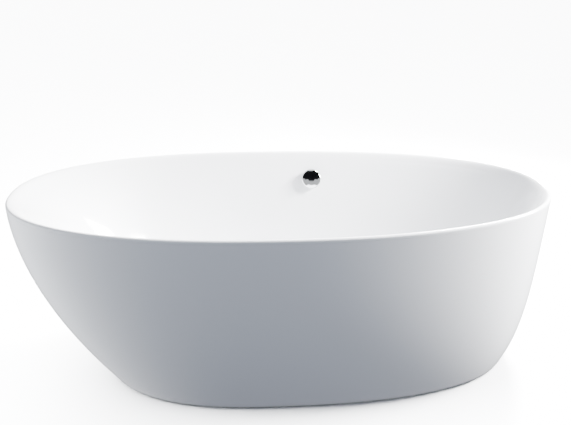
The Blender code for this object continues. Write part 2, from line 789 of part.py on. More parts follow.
def make_trap():
    """U-bend under the waste that turns to the back, with its union nut."""
    rise_x = DRAIN.x + 2 * TRAP_BEND
    end_y, end_z = TRAP_END
    path = [Vector((DRAIN.x, 0, OUTLET_Z - GAP))]
    path += arc(Vector((DRAIN.x + TRAP_BEND, 0, TRAP_LOW_Z)), Vector((-TRAP_BEND, 0, 0)),
                Vector((0, 0, -TRAP_BEND)), 180, 8)
    path += arc(Vector((rise_x, TRAP_TURN, end_z - TRAP_TURN)), Vector((0, -TRAP_TURN, 0)),
                Vector((0, 0, TRAP_TURN)), 90, 4)
    path.append(Vector((rise_x, end_y, end_z)))
    trap = tube("trap_pipe", path, TRAP_R, white_plastic(), caps=False)
    thicken(as_mesh(trap), TRAP_WALL)
    ring = turned("trap_nut", [(0.0224, 0.0755), (0.0280, 0.0755), (0.0290, 0.0735),
                               (0.0290, 0.0620), (0.0224, 0.0620)],
                  20, white_plastic(), ring=True)
    ring.location = DRAIN


def clamp(name, radius, place, direction):
    """A band clamp round a pipe end."""
    band = turned(name, [(radius + GAP, 0.004), (radius + 0.0018, 0.004),
                         (radius + 0.0018, -0.004), (radius + GAP, -0.004)],
                  20, steel(), ring=True)
    band.location = place
    band.rotation_euler = direction.to_track_quat("Z", "Y").to_euler()


def make_lines(overflow):
    """Overflow pipe and control cable down the back of the basin."""
    down = (overflow.to_3x3() @ Vector((0, -1, 0))).normalized()
    start = overflow @ Vector((0, -SPOUT_LONG - GAP, SPOUT_Z))
    inlet = Vector((DRAIN.x, INLET_END_Y + GAP, INLET_Z))
    route = [start, start + down * 0.035, Vector((DRAIN.x, 0.322, 0.300)),
             Vector((DRAIN.x, 0.312, 0.200)), Vector((DRAIN.x, 0.272, 0.128)),
             Vector((DRAIN.x, 0.200, 0.100)), Vector((DRAIN.x, 0.120, INLET_Z)), inlet]
    pipe = tube("overflow_pipe", smooth_path(route, 0.036), PIPE_R, grey_plastic(),
                caps=False)
    thicken(as_mesh(pipe), PIPE_WALL)
    clamp("pipe_clamp_top", PIPE_R, start + down * 0.008, down)
    clamp("pipe_clamp_bottom", PIPE_R, inlet + Vector((0, 0.008, 0)), Vector((0, 1, 0)))
    side = (overflow.to_3x3() @ Vector((-1, 0, 0))).normalized()
    gland = overflow @ Vector((-CHAMBER_R - GLAND_LONG - 2 * GAP, 0, CABLE_PORT_Z))
    end = Vector((DRAIN.x - CUP_R - GLAND_LONG - 2 * GAP, 0, CABLE_Z))
    route = [gland, gland + side * 0.012 + down * 0.003, Vector((0.052, 0.366, 0.430)),
             Vector((0.050, 0.335, 0.330)), Vector((0.055, 0.315, 0.220)),
             Vector((0.060, 0.280, 0.135)), Vector((0.058, 0.210, 0.096)),
             Vector((0.048, 0.120, CABLE_Z)), Vector((0.045, 0.045, CABLE_Z)),
             Vector((0.056, 0.008, CABLE_Z)), end + Vector((-0.006, 0, 0)), end]
    tube("control_cable", smooth_path(route, 0.022), CABLE_R, rubber())


def main():
    place = overflow_frame()
    overflow = make_empty("overflow_place", place)
    make_shells(overflow)
    make_board()
    make_frame()
    make_fasteners()
    make_feet()
    make_overflow(overflow)
    make_waste()
    make_trap()
    make_lines(place)
    bpy.context.view_layer.update()


main()
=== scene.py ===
"""Freestanding bathtub: the fine surfaces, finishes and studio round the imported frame."""

import json
import math

import bmesh
import bpy
from bpy.props import FloatProperty, FloatVectorProperty, IntProperty, PointerProperty
from mathutils import Matrix, Vector


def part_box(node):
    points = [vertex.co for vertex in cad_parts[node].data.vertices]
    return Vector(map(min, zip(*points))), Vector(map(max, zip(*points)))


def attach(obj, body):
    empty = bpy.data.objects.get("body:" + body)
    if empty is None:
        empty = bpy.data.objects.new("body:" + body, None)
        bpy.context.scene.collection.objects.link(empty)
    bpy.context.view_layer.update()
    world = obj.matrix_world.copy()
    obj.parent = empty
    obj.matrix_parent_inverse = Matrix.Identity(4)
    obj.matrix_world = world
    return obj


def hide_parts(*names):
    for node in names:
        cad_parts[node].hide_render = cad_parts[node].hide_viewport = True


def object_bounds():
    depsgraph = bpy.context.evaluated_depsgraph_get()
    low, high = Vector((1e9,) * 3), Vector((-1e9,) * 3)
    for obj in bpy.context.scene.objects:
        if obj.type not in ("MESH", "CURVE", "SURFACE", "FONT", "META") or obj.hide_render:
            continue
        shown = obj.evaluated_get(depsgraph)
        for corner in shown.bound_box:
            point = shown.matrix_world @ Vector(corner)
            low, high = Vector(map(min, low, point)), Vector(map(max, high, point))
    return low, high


bl_info = {
    "name": "Freestanding bathtub",
    "version": (1, 0, 0),
    "blender": (4, 5, 0),
    "location": "View3D > Sidebar > Bathtub",
    "description": "Builds a double-walled acrylic bathtub with its waste, overflow and foot frame",
    "category": "Add Mesh",
}

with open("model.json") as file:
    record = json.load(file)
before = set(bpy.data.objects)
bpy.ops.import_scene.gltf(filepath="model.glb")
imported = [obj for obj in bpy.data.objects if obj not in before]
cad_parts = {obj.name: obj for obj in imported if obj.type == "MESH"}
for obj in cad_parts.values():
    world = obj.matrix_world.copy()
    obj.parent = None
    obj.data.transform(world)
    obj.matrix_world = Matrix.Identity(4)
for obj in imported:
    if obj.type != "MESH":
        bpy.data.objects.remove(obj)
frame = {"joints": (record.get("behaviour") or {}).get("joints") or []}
CAD_LOW, CAD_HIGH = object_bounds()
LENGTH = CAD_HIGH.x - CAD_LOW.x
WIDTH = CAD_HIGH.y - CAD_LOW.y
HEIGHT = CAD_HIGH.z
KNOB_JOINT = next(joint for joint in frame["joints"] if joint["name"] == "knob_turn")
DRAIN_LOW, DRAIN_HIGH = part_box("drain_plug")
DRAIN_X = (DRAIN_LOW.x + DRAIN_HIGH.x) / 2
FEET = range(1, 5)
ROOT = "root"
MERGE = 1e-6               # points closer than this are one
QUARTER = math.pi / 2

# Places that neighbouring pieces share
SPOUT_DEPTH = -0.0265      # depths along the knob's axis, behind the basin wall
CABLE_DEPTH = -0.0290
INLET_Z = 0.098            # heights of what joins the waste from the side
CABLE_Z = 0.086
HOSE_RADIUS = 0.0155
PORT_RADIUS = 0.0034       # of the holes that the cable passes
OVERFLOW_HOLE_RADIUS = 0.0262
FOOT_Y = 0.225
ARM_ANGLES = [math.radians(90 + 120 * number) for number in range(3)]


# ------------------------------------------------------------------- user's values


def metres(name, description, default):
    return FloatProperty(name=name, description=description, default=default, unit="LENGTH")


def paint(name, description, default):
    return FloatVectorProperty(name=name, description=description, subtype="COLOR", size=3, min=0, max=1,
                               default=default)


class BathtubShape(bpy.types.PropertyGroup):
    """Sizes of the tub's two shells."""

    length: metres("Length", "Rim length", LENGTH)
    width: metres("Width", "Rim width", WIDTH)
    height: metres("Height", "Rim height", HEIGHT)
    widest_x: metres("Widest place", "Where the tub is widest, along its length", -0.050)
    base_gap: metres("Base gap", "Shadow gap under the skirt", 0.009)
    base_left: metres("Base, backrest end", "Reach of the base to the backrest end", 0.560)
    base_right: metres("Base, foot end", "Reach of the base to the foot end", 0.739)
    base_half: metres("Base half width", "Half width of the base", 0.353)
    floor_z: metres("Basin floor", "Height of the basin floor", 0.160)
    lip_z: metres("Lip", "Height of the lip's lower edge", 0.568)
    basin_wall: metres("Basin wall", "Thickness of the basin", 0.0048)
    skirt_wall: metres("Skirt wall", "Thickness of the skirt", 0.0038)
    around: IntProperty(name="Around", description="Points round each section", default=288, min=24)


class BathtubFinish(bpy.types.PropertyGroup):
    """Colours and gloss of the finishes."""

    acrylic: paint("Acrylic", "Colour of the acrylic", (0.90, 0.905, 0.92))
    acrylic_roughness: FloatProperty(name="Acrylic roughness", description="Roughness of the acrylic",
                                     subtype="FACTOR", min=0, max=1, default=0.12)
    chrome: paint("Chrome", "Colour of the chrome", (0.78, 0.79, 0.81))
    steel: paint("Zinc", "Colour of the zinc-plated steel", (0.60, 0.62, 0.65))
    board: paint("Board", "Colour of the particle board", (0.56, 0.42, 0.26))


class BathtubStage(bpy.types.PropertyGroup):
    """Camera and floor."""

    lens: FloatProperty(name="Lens", description="Focal length of the camera", default=49.03,
                        subtype="DISTANCE_CAMERA")
    azimuth: FloatProperty(name="Azimuth", description="Camera's turn round the tub",
                           default=math.radians(-2.91), subtype="ANGLE")
    elevation: FloatProperty(name="Elevation", description="Camera's height angle",
                             default=math.radians(20.83), subtype="ANGLE")
    distance: metres("Distance", "Camera's distance from its target", 2.50)
    target: FloatVectorProperty(name="Target", description="Point that the camera looks at", size=3,
                                subtype="TRANSLATION", default=(0.0126, 0.0, 0.4978))
    floor: paint("Floor", "Colour of the studio floor", (0.86, 0.865, 0.875))


# ------------------------------------------------------------------ node utilities


class Nodes:
    """Adds nodes to a tree, with sockets filled from numbers or from other sockets."""

    def __init__(self, tree):
        self.tree = tree

    def add(self, kind, values=None, **settings):
        made = self.tree.nodes.new(kind)
        for key, value in settings.items():
            setattr(made, key, value)
        for key, value in (values or {}).items():
            self.put(made.inputs[key], value)
        return made

    def put(self, socket, value):
        if isinstance(value, bpy.types.NodeSocket):
            self.tree.links.new(value, socket)
        else:
            socket.default_value = value

    def math(self, operation, first, second=0.0, third=0.0):
        made = self.tree.nodes.new("ShaderNodeMath")
        made.operation = operation
        for socket, value in zip(made.inputs, (first, second, third)):
            self.put(socket, value)
        return made.outputs[0]

    def combine(self, x, y, z):
        return self.add("ShaderNodeCombineXYZ", {"X": x, "Y": y, "Z": z}).outputs[0]

    def separate(self, vector):
        return self.add("ShaderNodeSeparateXYZ", {"Vector": vector}).outputs

    def attribute(self, name):
        made = self.tree.nodes.new("GeometryNodeInputNamedAttribute")
        made.data_type = "FLOAT"
        made.inputs["Name"].default_value = name
        return made.outputs["Attribute"]


def geometry_tree(name, inputs):
    """A geometry tree with named inputs. Returns its nodes helper and the input sockets."""
    tree = bpy.data.node_groups.new(name, "GeometryNodeTree")
    tree.interface.new_socket("Geometry", in_out="INPUT", socket_type="NodeSocketGeometry")
    for label, kind in inputs:
        tree.interface.new_socket(label, in_out="INPUT", socket_type=kind)
    tree.interface.new_socket("Geometry", in_out="OUTPUT", socket_type="NodeSocketGeometry")
    nodes = Nodes(tree)
    start = nodes.add("NodeGroupInput")
    return nodes, start.outputs


def close_tree(nodes, geometry, material):
    """Every tree ends in real geometry with its material set."""
    real = nodes.add("GeometryNodeRealizeInstances", {"Geometry": geometry})
    dressed = nodes.add("GeometryNodeSetMaterial", {"Geometry": real.outputs[0], "Material": material})
    end = nodes.add("NodeGroupOutput")
    nodes.tree.links.new(dressed.outputs[0], end.inputs[0])


def run_tree(name, source, tree, values):
    """Evaluates a tree on a mesh or curve and returns the result as a plain mesh object."""
    holder = link(name + "_source", source)
    modifier = holder.modifiers.new("nodes", "NODES")
    modifier.node_group = tree
    for item in tree.interface.items_tree:
        if item.in_out == "INPUT" and item.name in values:
            modifier[item.identifier] = values[item.name]
    mesh = evaluated_mesh(holder)
    mesh.name = name
    bpy.data.objects.remove(holder, do_unlink=True)
    return link(name, mesh)


# ------------------------------------------------------------------ mesh utilities


def link(name, data):
    made = bpy.data.objects.new(name, data)
    bpy.context.scene.collection.objects.link(made)
    return made


def evaluated_mesh(piece):
    """A plain mesh of a piece or curve with its modifiers applied."""
    bpy.context.view_layer.update()
    evaluated = piece.evaluated_get(bpy.context.evaluated_depsgraph_get())
    return bpy.data.meshes.new_from_object(evaluated)


def bake(piece):
    """Applies a piece's modifiers to its mesh."""
    mesh = evaluated_mesh(piece)
    piece.modifiers.clear()
    piece.data = mesh


def mend(mesh):
    """Merges doubles and turns the faces outwards."""
    builder = bmesh.new()
    builder.from_mesh(mesh)
    bmesh.ops.remove_doubles(builder, verts=builder.verts, dist=MERGE)
    bmesh.ops.recalc_face_normals(builder, faces=builder.faces)
    builder.to_mesh(mesh)
    builder.free()


def smooth_piece(name, mesh, material, sharp, place=None):
    """A mended mesh, smooth with sharp creases, moved to its place."""
    mend(mesh)
    if place is not None:
        mesh.transform(place)
    mesh.shade_smooth()
    mesh.set_sharp_from_angle(angle=math.radians(sharp))
    mesh.materials.clear()
    mesh.materials.append(material)
    return link(name, mesh)


def mesh_piece(name, points, faces, material, place=None, sharp=35):
    mesh = bpy.data.meshes.new(name)
    mesh.from_pydata([tuple(point) for point in points], [], faces)
    return smooth_piece(name, mesh, material, sharp, place)


NEARLY_STRAIGHT = math.radians(176)


def rounded(profile, radius, steps=4, closed=False):
    """The profile with each inner corner turned into an arc."""
    count = len(profile)
    result = []
    for i, corner in enumerate(profile):
        corner = Vector(corner)
        if not closed and i in (0, count - 1):
            result.append(corner)
            continue
        before = Vector(profile[i - 1]) - corner
        after = Vector(profile[(i + 1) % count]) - corner
        angle = before.angle(after)
        if angle > NEARLY_STRAIGHT:
            result.append(corner)
            continue
        reach = min(radius / math.tan(angle / 2), before.length * 0.48, after.length * 0.48)
        start = corner + before.normalized() * reach
        end = corner + after.normalized() * reach
        for step in range(steps + 1):
            t = step / steps
            result.append(start * (1 - t) ** 2 + corner * 2 * t * (1 - t) + end * t * t)
    return result


def turned(name, profile, material, place=None, radius=0.0006, segments=96, closed=False, steps=4):
    """A body turned round Z from a (radius, height) profile with softened corners."""
    profile = rounded(profile, radius, steps, closed)
    points = []
    faces = []
    count = len(profile)
    for i in range(segments):
        angle = 2 * math.pi * i / segments
        points += [(r * math.cos(angle), r * math.sin(angle), z) for r, z in profile]
    spans = count if closed else count - 1
    for i in range(segments):
        here = i * count
        there = (i + 1) % segments * count
        for j in range(spans):
            k = (j + 1) % count
            starts_on_axis = profile[j][0] < MERGE
            ends_on_axis = profile[k][0] < MERGE
            if starts_on_axis and ends_on_axis:
                continue
            if starts_on_axis:
                faces.append((here + j, there + k, here + k))
            elif ends_on_axis:
                faces.append((here + j, there + j, here + k))
            else:
                faces.append((here + j, there + j, there + k, here + k))
    return mesh_piece(name, points, faces, material, place)


def ring_loft(name, rings, material, place=None, sharp=35, capped=False):
    """A closed surface through rings, capped, or else from the last ring back to the first."""
    count = len(rings[0])
    points = [point for ring in rings for point in ring]
    faces = []
    if capped:
        faces += [tuple(range(count)), tuple(range(len(points) - count, len(points)))]
    for level in range(len(rings) - capped):
        low = level * count
        high = (level + 1) % len(rings) * count
        for i in range(count):
            j = (i + 1) % count
            faces.append((low + i, low + j, high + j, high + i))
    return mesh_piece(name, points, faces, material, place, sharp)


def circle(radius, count, centre=(0.0, 0.0)):
    return [Vector((centre[0] + radius * math.cos(2 * math.pi * i / count),
                    centre[1] + radius * math.sin(2 * math.pi * i / count))) for i in range(count)]


def rounded_box(left, right, low, high, corner, each=6):
    """A rectangle with round corners, anticlockwise."""
    points = []
    for turn, x, y in ((0, right - corner, high - corner), (1, left + corner, high - corner),
                       (2, left + corner, low + corner), (3, right - corner, low + corner)):
        for step in range(each + 1):
            angle = QUARTER * (turn + step / each)
            points.append(Vector((x + corner * math.cos(angle), y + corner * math.sin(angle))))
    return points


def even(outline, count):
    """Points at even steps round a closed outline."""
    closed = outline + [outline[0]]
    lengths = [0.0]
    for a, b in zip(closed, closed[1:]):
        lengths.append(lengths[-1] + (b - a).length)
    result = []
    leg = 0
    for i in range(count):
        want = lengths[-1] * i / count
        while lengths[leg + 1] < want:
            leg += 1
        share = (want - lengths[leg]) / (lengths[leg + 1] - lengths[leg])
        result.append(closed[leg].lerp(closed[leg + 1], share))
    return result


def hexagon(corner, count):
    return even(circle(corner, 6), count)


def lift(outline, height):
    return [Vector((point.x, point.y, height)) for point in outline]


def shrink(outline, amount, centre=(0.0, 0.0)):
    middle = Vector(centre)
    return [point - (point - middle).normalized() * amount for point in outline]


def plate(name, outer, inner, thickness, material, place, edge):
    """A plate or a tube; outer and inner have the same number of points."""
    half = thickness / 2
    rings = [lift(inner, -half), lift(shrink(outer, edge), -half), lift(outer, edge - half),
             lift(outer, half - edge), lift(shrink(outer, edge), half), lift(inner, half)]
    return ring_loft(name, rings, material, place)


def smooth_route(route, spacing):
    """Points a spacing apart on a smooth curve through the route's points."""
    route = [Vector(point) for point in route]
    ends = [2 * route[0] - route[1]] + route + [2 * route[-1] - route[-2]]
    path = []
    for a, b, c, d in zip(ends, ends[1:], ends[2:], ends[3:]):
        pieces = max(1, round((c - b).length / spacing))
        for i in range(pieces):
            t = i / pieces
            path.append(0.5 * (2 * b + (c - a) * t + (2 * a - 5 * b + 4 * c - d) * t * t
                               + (3 * b - a - 3 * c + d) * t ** 3))
    path.append(route[-1])
    return path


def path_curve(name, path):
    curve = bpy.data.curves.new(name, "CURVE")
    curve.dimensions = "3D"
    spline = curve.splines.new("POLY")
    spline.points.add(len(path) - 1)
    for point, place in zip(spline.points, path):
        point.co = (*place, 1.0)
    return curve


def swept(name, path, material, radius, wall=0.0, segments=32):
    """A round tube along a path, hollow with a wall or solid without."""
    curve = path_curve(name, path)
    curve.bevel_depth = radius
    curve.bevel_resolution = segments // 2 - 2
    curve.use_fill_caps = wall == 0.0
    holder = link(name + "_path", curve)
    mesh = evaluated_mesh(holder)
    bpy.data.objects.remove(holder, do_unlink=True)
    piece = smooth_piece(name, mesh, material, 40)
    if wall:
        shell = piece.modifiers.new("wall", "SOLIDIFY")
        shell.thickness = wall
        shell.offset = -1
        bake(piece)
    return piece


def cut_hole(piece, radius, depth, place, segments=48):
    """A round hole along the place's own Z."""
    builder = bmesh.new()
    bmesh.ops.create_cone(builder, cap_ends=True, segments=segments, radius1=radius, radius2=radius,
                          depth=depth)
    mesh = bpy.data.meshes.new("hole")
    builder.to_mesh(mesh)
    builder.free()
    mesh.transform(place)
    cutter = link("hole", mesh)
    modifier = piece.modifiers.new("hole", "BOOLEAN")
    modifier.object = cutter
    modifier.operation = "DIFFERENCE"
    modifier.solver = "EXACT"
    bake(piece)
    bpy.data.objects.remove(cutter, do_unlink=True)


def finish_piece(piece, body, slot, *nodes):
    """Hands a piece over to its body, in place of the CAD nodes."""
    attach(piece, body)
    if nodes:
        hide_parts(*nodes)


def turned_piece(name, finish, node, profile, place, radius, segments=96, closed=True, body=ROOT,
                 steps=4, holes=()):
    """A turned piece with its holes, handed over. Its node is None if it adds to its neighbour."""
    piece = turned(name, profile, look(finish), place, radius, segments, closed, steps)
    for hole in holes:
        cut_hole(piece, *hole)
    finish_piece(piece, body, finish, *([node] if node else []))


def arms(name, finish, rings, place):
    """Three arms that join a bush to the ring round it."""
    for number, angle in enumerate(ARM_ANGLES, 1):
        turn = Matrix.Rotation(angle, 4, "Z")
        arm = ring_loft(f"{name}_{number}", rings, look(finish), place @ turn, capped=True)
        finish_piece(arm, ROOT, finish)


# --------------------------------------------------------------------- materials


def new_material(name):
    made = bpy.data.materials.new(name)
    made.use_nodes = True
    nodes = Nodes(made.node_tree)
    shader = made.node_tree.nodes["Principled BSDF"]
    place = nodes.add("ShaderNodeTexCoord").outputs["Object"]
    return made, nodes, shader, place


def noise(nodes, place, scale, detail=3.0, rough=0.5):
    made = nodes.add("ShaderNodeTexNoise", {"Vector": place, "Scale": scale, "Detail": detail,
                                            "Roughness": rough})
    return made.outputs["Fac"]


def ramp(nodes, value, low, high, *colours):
    """Maps a value between low and high over two or more colours."""
    made = nodes.add("ShaderNodeValToRGB", {"Fac": value})
    stops = made.color_ramp.elements
    stops[0].position = low
    stops[0].color = (*colours[0], 1)
    stops[1].position = high
    stops[1].color = (*colours[-1], 1)
    for i, colour in enumerate(colours[1:-1], 1):
        stop = stops.new(low + (high - low) * i / (len(colours) - 1))
        stop.color = (*colour, 1)
    return made.outputs["Color"]


def spread(nodes, value, low, high):
    """Maps 0..1 to low..high."""
    made = nodes.add("ShaderNodeMapRange", {"Value": value, "To Min": low, "To Max": high})
    return made.outputs["Result"]


def skin(nodes, shader, colour, rough, height, strength, distance, **others):
    """Sets the colour, roughness, relief and other inputs of a finish."""
    nodes.put(shader.inputs["Base Color"], colour)
    nodes.put(shader.inputs["Roughness"], rough)
    relief = nodes.add("ShaderNodeBump", {"Height": height, "Strength": strength, "Distance": distance})
    nodes.put(shader.inputs["Normal"], relief.outputs["Normal"])
    for label, value in others.items():
        nodes.put(shader.inputs[label.replace("_", " ")], value)


def shade(colour, factor):
    return tuple(min(1.0, value * factor) for value in colour)


def acrylic_material(finish):
    """Polished white sheet with the faint unevenness of a formed surface."""
    made, nodes, shader, place = new_material("white_acrylic")
    colour = tuple(finish.acrylic)
    cloud = noise(nodes, place, 2.5, 2.0)
    smear = noise(nodes, place, 9.0, 4.0, 0.6)
    gloss = finish.acrylic_roughness
    skin(nodes, shader, ramp(nodes, cloud, 0.3, 0.7, shade(colour, 0.985), colour),
         spread(nodes, smear, gloss * 0.75, gloss * 1.25), noise(nodes, place, 55.0, 2.0), 0.035, 0.0006,
         IOR=1.49, Coat_Weight=0.25, Coat_Roughness=0.04)
    return made


def backing_material():
    """Resin and chopped glass fibre sprayed on the hidden side of the acrylic."""
    made, nodes, shader, place = new_material("glass_fibre_backing")
    stretch = nodes.add("ShaderNodeMapping", {"Vector": place, "Scale": (1.0, 1.0, 0.25)})
    strands = nodes.add("ShaderNodeTexVoronoi", {"Vector": stretch.outputs[0], "Scale": 140.0},
                        feature="DISTANCE_TO_EDGE").outputs["Distance"]
    cloud = noise(nodes, place, 14.0, 5.0, 0.65)
    mixed = nodes.math("MULTIPLY_ADD", strands, 0.6, cloud)
    resin = ramp(nodes, mixed, 0.35, 0.75, (0.62, 0.60, 0.50), (0.78, 0.77, 0.68), (0.72, 0.70, 0.60))
    skin(nodes, shader, resin, spread(nodes, cloud, 0.45, 0.75), mixed, 0.5, 0.0015)
    return made


def metal_material(name, colour, rough_low, rough_high, scale, stretch=(1, 1, 1), strength=0.05):
    """A metal whose gloss varies along its working marks."""
    made, nodes, shader, place = new_material(name)
    mapping = nodes.add("ShaderNodeMapping", {"Vector": place, "Scale": stretch})
    marks = noise(nodes, mapping.outputs[0], scale, 5.0, 0.6)
    skin(nodes, shader, ramp(nodes, marks, 0.3, 0.7, shade(colour, 0.94), colour),
         spread(nodes, marks, rough_low, rough_high), marks, strength, 0.0004, Metallic=1.0)
    return made


def zinc_material(finish):
    """Zinc plating with its soft crystal pattern."""
    made, nodes, shader, place = new_material("zinc_plated_steel")
    colour = tuple(finish.steel)
    spangle = nodes.add("ShaderNodeTexVoronoi", {"Vector": place, "Scale": 90.0})
    grey = nodes.add("ShaderNodeRGBToBW", {"Color": spangle.outputs["Color"]}).outputs[0]
    haze = noise(nodes, place, 6.0, 4.0)
    mixed = nodes.math("MULTIPLY_ADD", grey, 0.4, nodes.math("MULTIPLY", haze, 0.6))
    skin(nodes, shader, ramp(nodes, mixed, 0.25, 0.75, shade(colour, 0.82), colour, shade(colour, 1.12)),
         spread(nodes, mixed, 0.28, 0.50), haze, 0.08, 0.0005, Metallic=1.0)
    return made


def plastic_material(name, colour, roughness):
    """Moulded plastic with a fine grain."""
    made, nodes, shader, place = new_material(name)
    cloud = noise(nodes, place, 20.0, 3.0)
    skin(nodes, shader, ramp(nodes, cloud, 0.3, 0.7, shade(colour, 0.93), colour),
         spread(nodes, cloud, roughness * 0.85, roughness * 1.15),
         noise(nodes, place, 900.0, 2.0), 0.15, 0.0002)
    return made


def rubber_material():
    """Black rubber with a dusty bloom."""
    made, nodes, shader, place = new_material("black_rubber")
    bloom = noise(nodes, place, 35.0, 5.0, 0.65)
    skin(nodes, shader, ramp(nodes, bloom, 0.35, 0.75, (0.018, 0.018, 0.019), (0.045, 0.044, 0.042)),
         spread(nodes, bloom, 0.62, 0.85), noise(nodes, place, 700.0, 3.0), 0.25, 0.0003)
    return made


def board_material(finish):
    """Pressed wood chips under clear resin."""
    made, nodes, shader, place = new_material("resin_coated_board")
    colour = tuple(finish.board)
    stretch = nodes.add("ShaderNodeMapping", {"Vector": place, "Scale": (1.0, 1.8, 1.0)})
    chips = nodes.add("ShaderNodeTexVoronoi", {"Vector": stretch.outputs[0], "Scale": 150.0})
    tone = nodes.add("ShaderNodeRGBToBW", {"Color": chips.outputs["Color"]}).outputs[0]
    stain = noise(nodes, place, 8.0, 4.0)
    mixed = nodes.math("MULTIPLY_ADD", tone, 0.55, nodes.math("MULTIPLY", stain, 0.45))
    skin(nodes, shader, ramp(nodes, mixed, 0.25, 0.72, shade(colour, 0.55), colour, shade(colour, 1.35)),
         spread(nodes, stain, 0.35, 0.65), tone, 0.30, 0.0006)
    return made


LOOKS = {}


def look(name):
    """The finish of that name, made on first use."""
    finish = bpy.context.scene.bathtub_finish
    makers = {
        "acrylic": lambda: acrylic_material(finish),
        "backing": backing_material,
        "chrome": lambda: metal_material("chrome", tuple(finish.chrome), 0.03, 0.075, 40.0),
        "steel": lambda: zinc_material(finish),
        "brass": lambda: metal_material("brass", (0.72, 0.53, 0.24), 0.18, 0.36, 120.0,
                                        (1.0, 1.0, 8.0), 0.12),
        "rubber": rubber_material,
        "white_plastic": lambda: plastic_material("white_plastic", (0.80, 0.80, 0.79), 0.38),
        "grey_plastic": lambda: plastic_material("grey_plastic", (0.30, 0.31, 0.33), 0.45),
        "cam_plastic": lambda: plastic_material("cam_plastic", (0.70, 0.12, 0.09), 0.40),
        "board": lambda: board_material(finish),
    }
    if name not in LOOKS:
        LOOKS[name] = makers[name]()
    return LOOKS[name]


# -------------------------------------------------------------------- tub sections

RIM_SQUARENESS = 2.30
BASE_SQUARENESS = 2.45
FLOOR_SQUARENESS = 2.05
LEFT_POWER = 1.80
RIGHT_STRAIGHT = 0.50
RIGHT_POWER = 5.0
HALF_POWER = 3.0
FLOOR_REACH = Vector((0.420, 0.650, 0.240))
RIM_INSET = 0.022
WALL_TOP_Z = 0.572
FILLET_HIGH = 0.080
FILLET_WIDE = 0.075
ROLL_START_Z = 0.552
ROLL_RISE = 0.012
ROLL_PULL = 0.010
CREST_INSET = 0.0065
SKIRT_CURL = 0.0030
BOND_LINE = 0.0004         # between the skirt's top edge and the lip
SLOPE_STEP = 0.001


def station(reach, squareness, widest, height):
    """One section: how far it goes left, right and to the sides, and its shape."""
    return (*reach, squareness, widest, height)


def swell(t, straight, power):
    return straight * t + (1 - straight) * (1 - (1 - t) ** power)


def inset(reach, amount):
    return reach - Vector((amount, amount, amount))


def quarter_turn(steps, first=0):
    """Steps of a quarter round: how far it has risen and how far it still has to go out."""
    for step in range(first, steps + 1):
        angle = QUARTER * step / steps
        yield 1 - math.cos(angle), 1 - math.sin(angle)


def rim_reach(shape):
    return Vector((shape.length / 2, shape.length / 2, shape.width / 2))


def skirt_stations(shape):
    """From a curled foot edge up to the lip."""
    rim = rim_reach(shape)
    base = Vector((shape.base_left, shape.base_right, shape.base_half))
    top = shape.lip_z - BOND_LINE

    def at(z, curl=0.0):
        t = z / shape.height
        grow = (swell(t, 0.0, LEFT_POWER), swell(t, RIGHT_STRAIGHT, RIGHT_POWER),
                swell(t, 0.0, HALF_POWER))
        reach = Vector([low + (high - low) * part for low, high, part in zip(base, rim, grow)])
        squareness = BASE_SQUARENESS + (RIM_SQUARENESS - BASE_SQUARENESS) * t
        return station(inset(reach, curl), squareness, shape.widest_x, z)

    stations = [at(shape.base_gap + SKIRT_CURL * rise, SKIRT_CURL * short)
                for rise, short in quarter_turn(4)]
    low = shape.base_gap + SKIRT_CURL
    stations += [at(low + (top - low) * step / 60) for step in range(1, 61)]
    return stations


def wall_share(shape, z):
    """0 at the basin's floor and 1 at the top of its wall."""
    return (z - shape.floor_z) / (WALL_TOP_Z - shape.floor_z)


def basin_reach(shape, z):
    w = wall_share(shape, z)
    rim = inset(rim_reach(shape), RIM_INSET)
    share = (0.70 * w + 0.30 * w ** 3.4, w, 0.85 * w + 0.15 * w ** 4.3)
    return Vector([low + (high - low) * part for low, high, part in zip(FLOOR_REACH, rim, share)])


def basin_stations(shape):
    """From the lip over the rim, down the wall and over the floor to the drain hole."""
    def wall(z, narrower=0.0):
        share = min(wall_share(shape, z), 1.0)
        squareness = FLOOR_SQUARENESS + (RIM_SQUARENESS - FLOOR_SQUARENESS) * share
        return station(inset(basin_reach(shape, z), narrower), squareness, shape.widest_x, z)

    stations = drain_stations(wall(shape.floor_z, FILLET_WIDE))
    stations += [wall(shape.floor_z + FILLET_HIGH * rise, FILLET_WIDE * short)
                 for rise, short in quarter_turn(16, 1)]
    low = shape.floor_z + FILLET_HIGH
    stations += [wall(low + (ROLL_START_Z - low) * step / 30) for step in range(1, 31)]
    return (stations + rim_stations(shape))[::-1]


def drain_stations(edge):
    """The sunk seat of the drain, blended out to the edge of the floor."""
    def ring(radius, z):
        return station((radius - DRAIN_X, radius + DRAIN_X, radius), 2.0, DRAIN_X, z)

    seat = [(0.0265, 0.1535), (0.0400, 0.1535), (0.0415, 0.1538), (0.0430, 0.1548), (0.0445, 0.1559),
            (0.0465, 0.1566)]
    stations = [ring(radius, z) for radius, z in seat]
    start = stations[-1]
    for step in range(1, 13):
        t = (step / 12) ** 1.4
        stations.append(tuple(a + (b - a) * t for a, b in zip(start, edge)))
    return stations


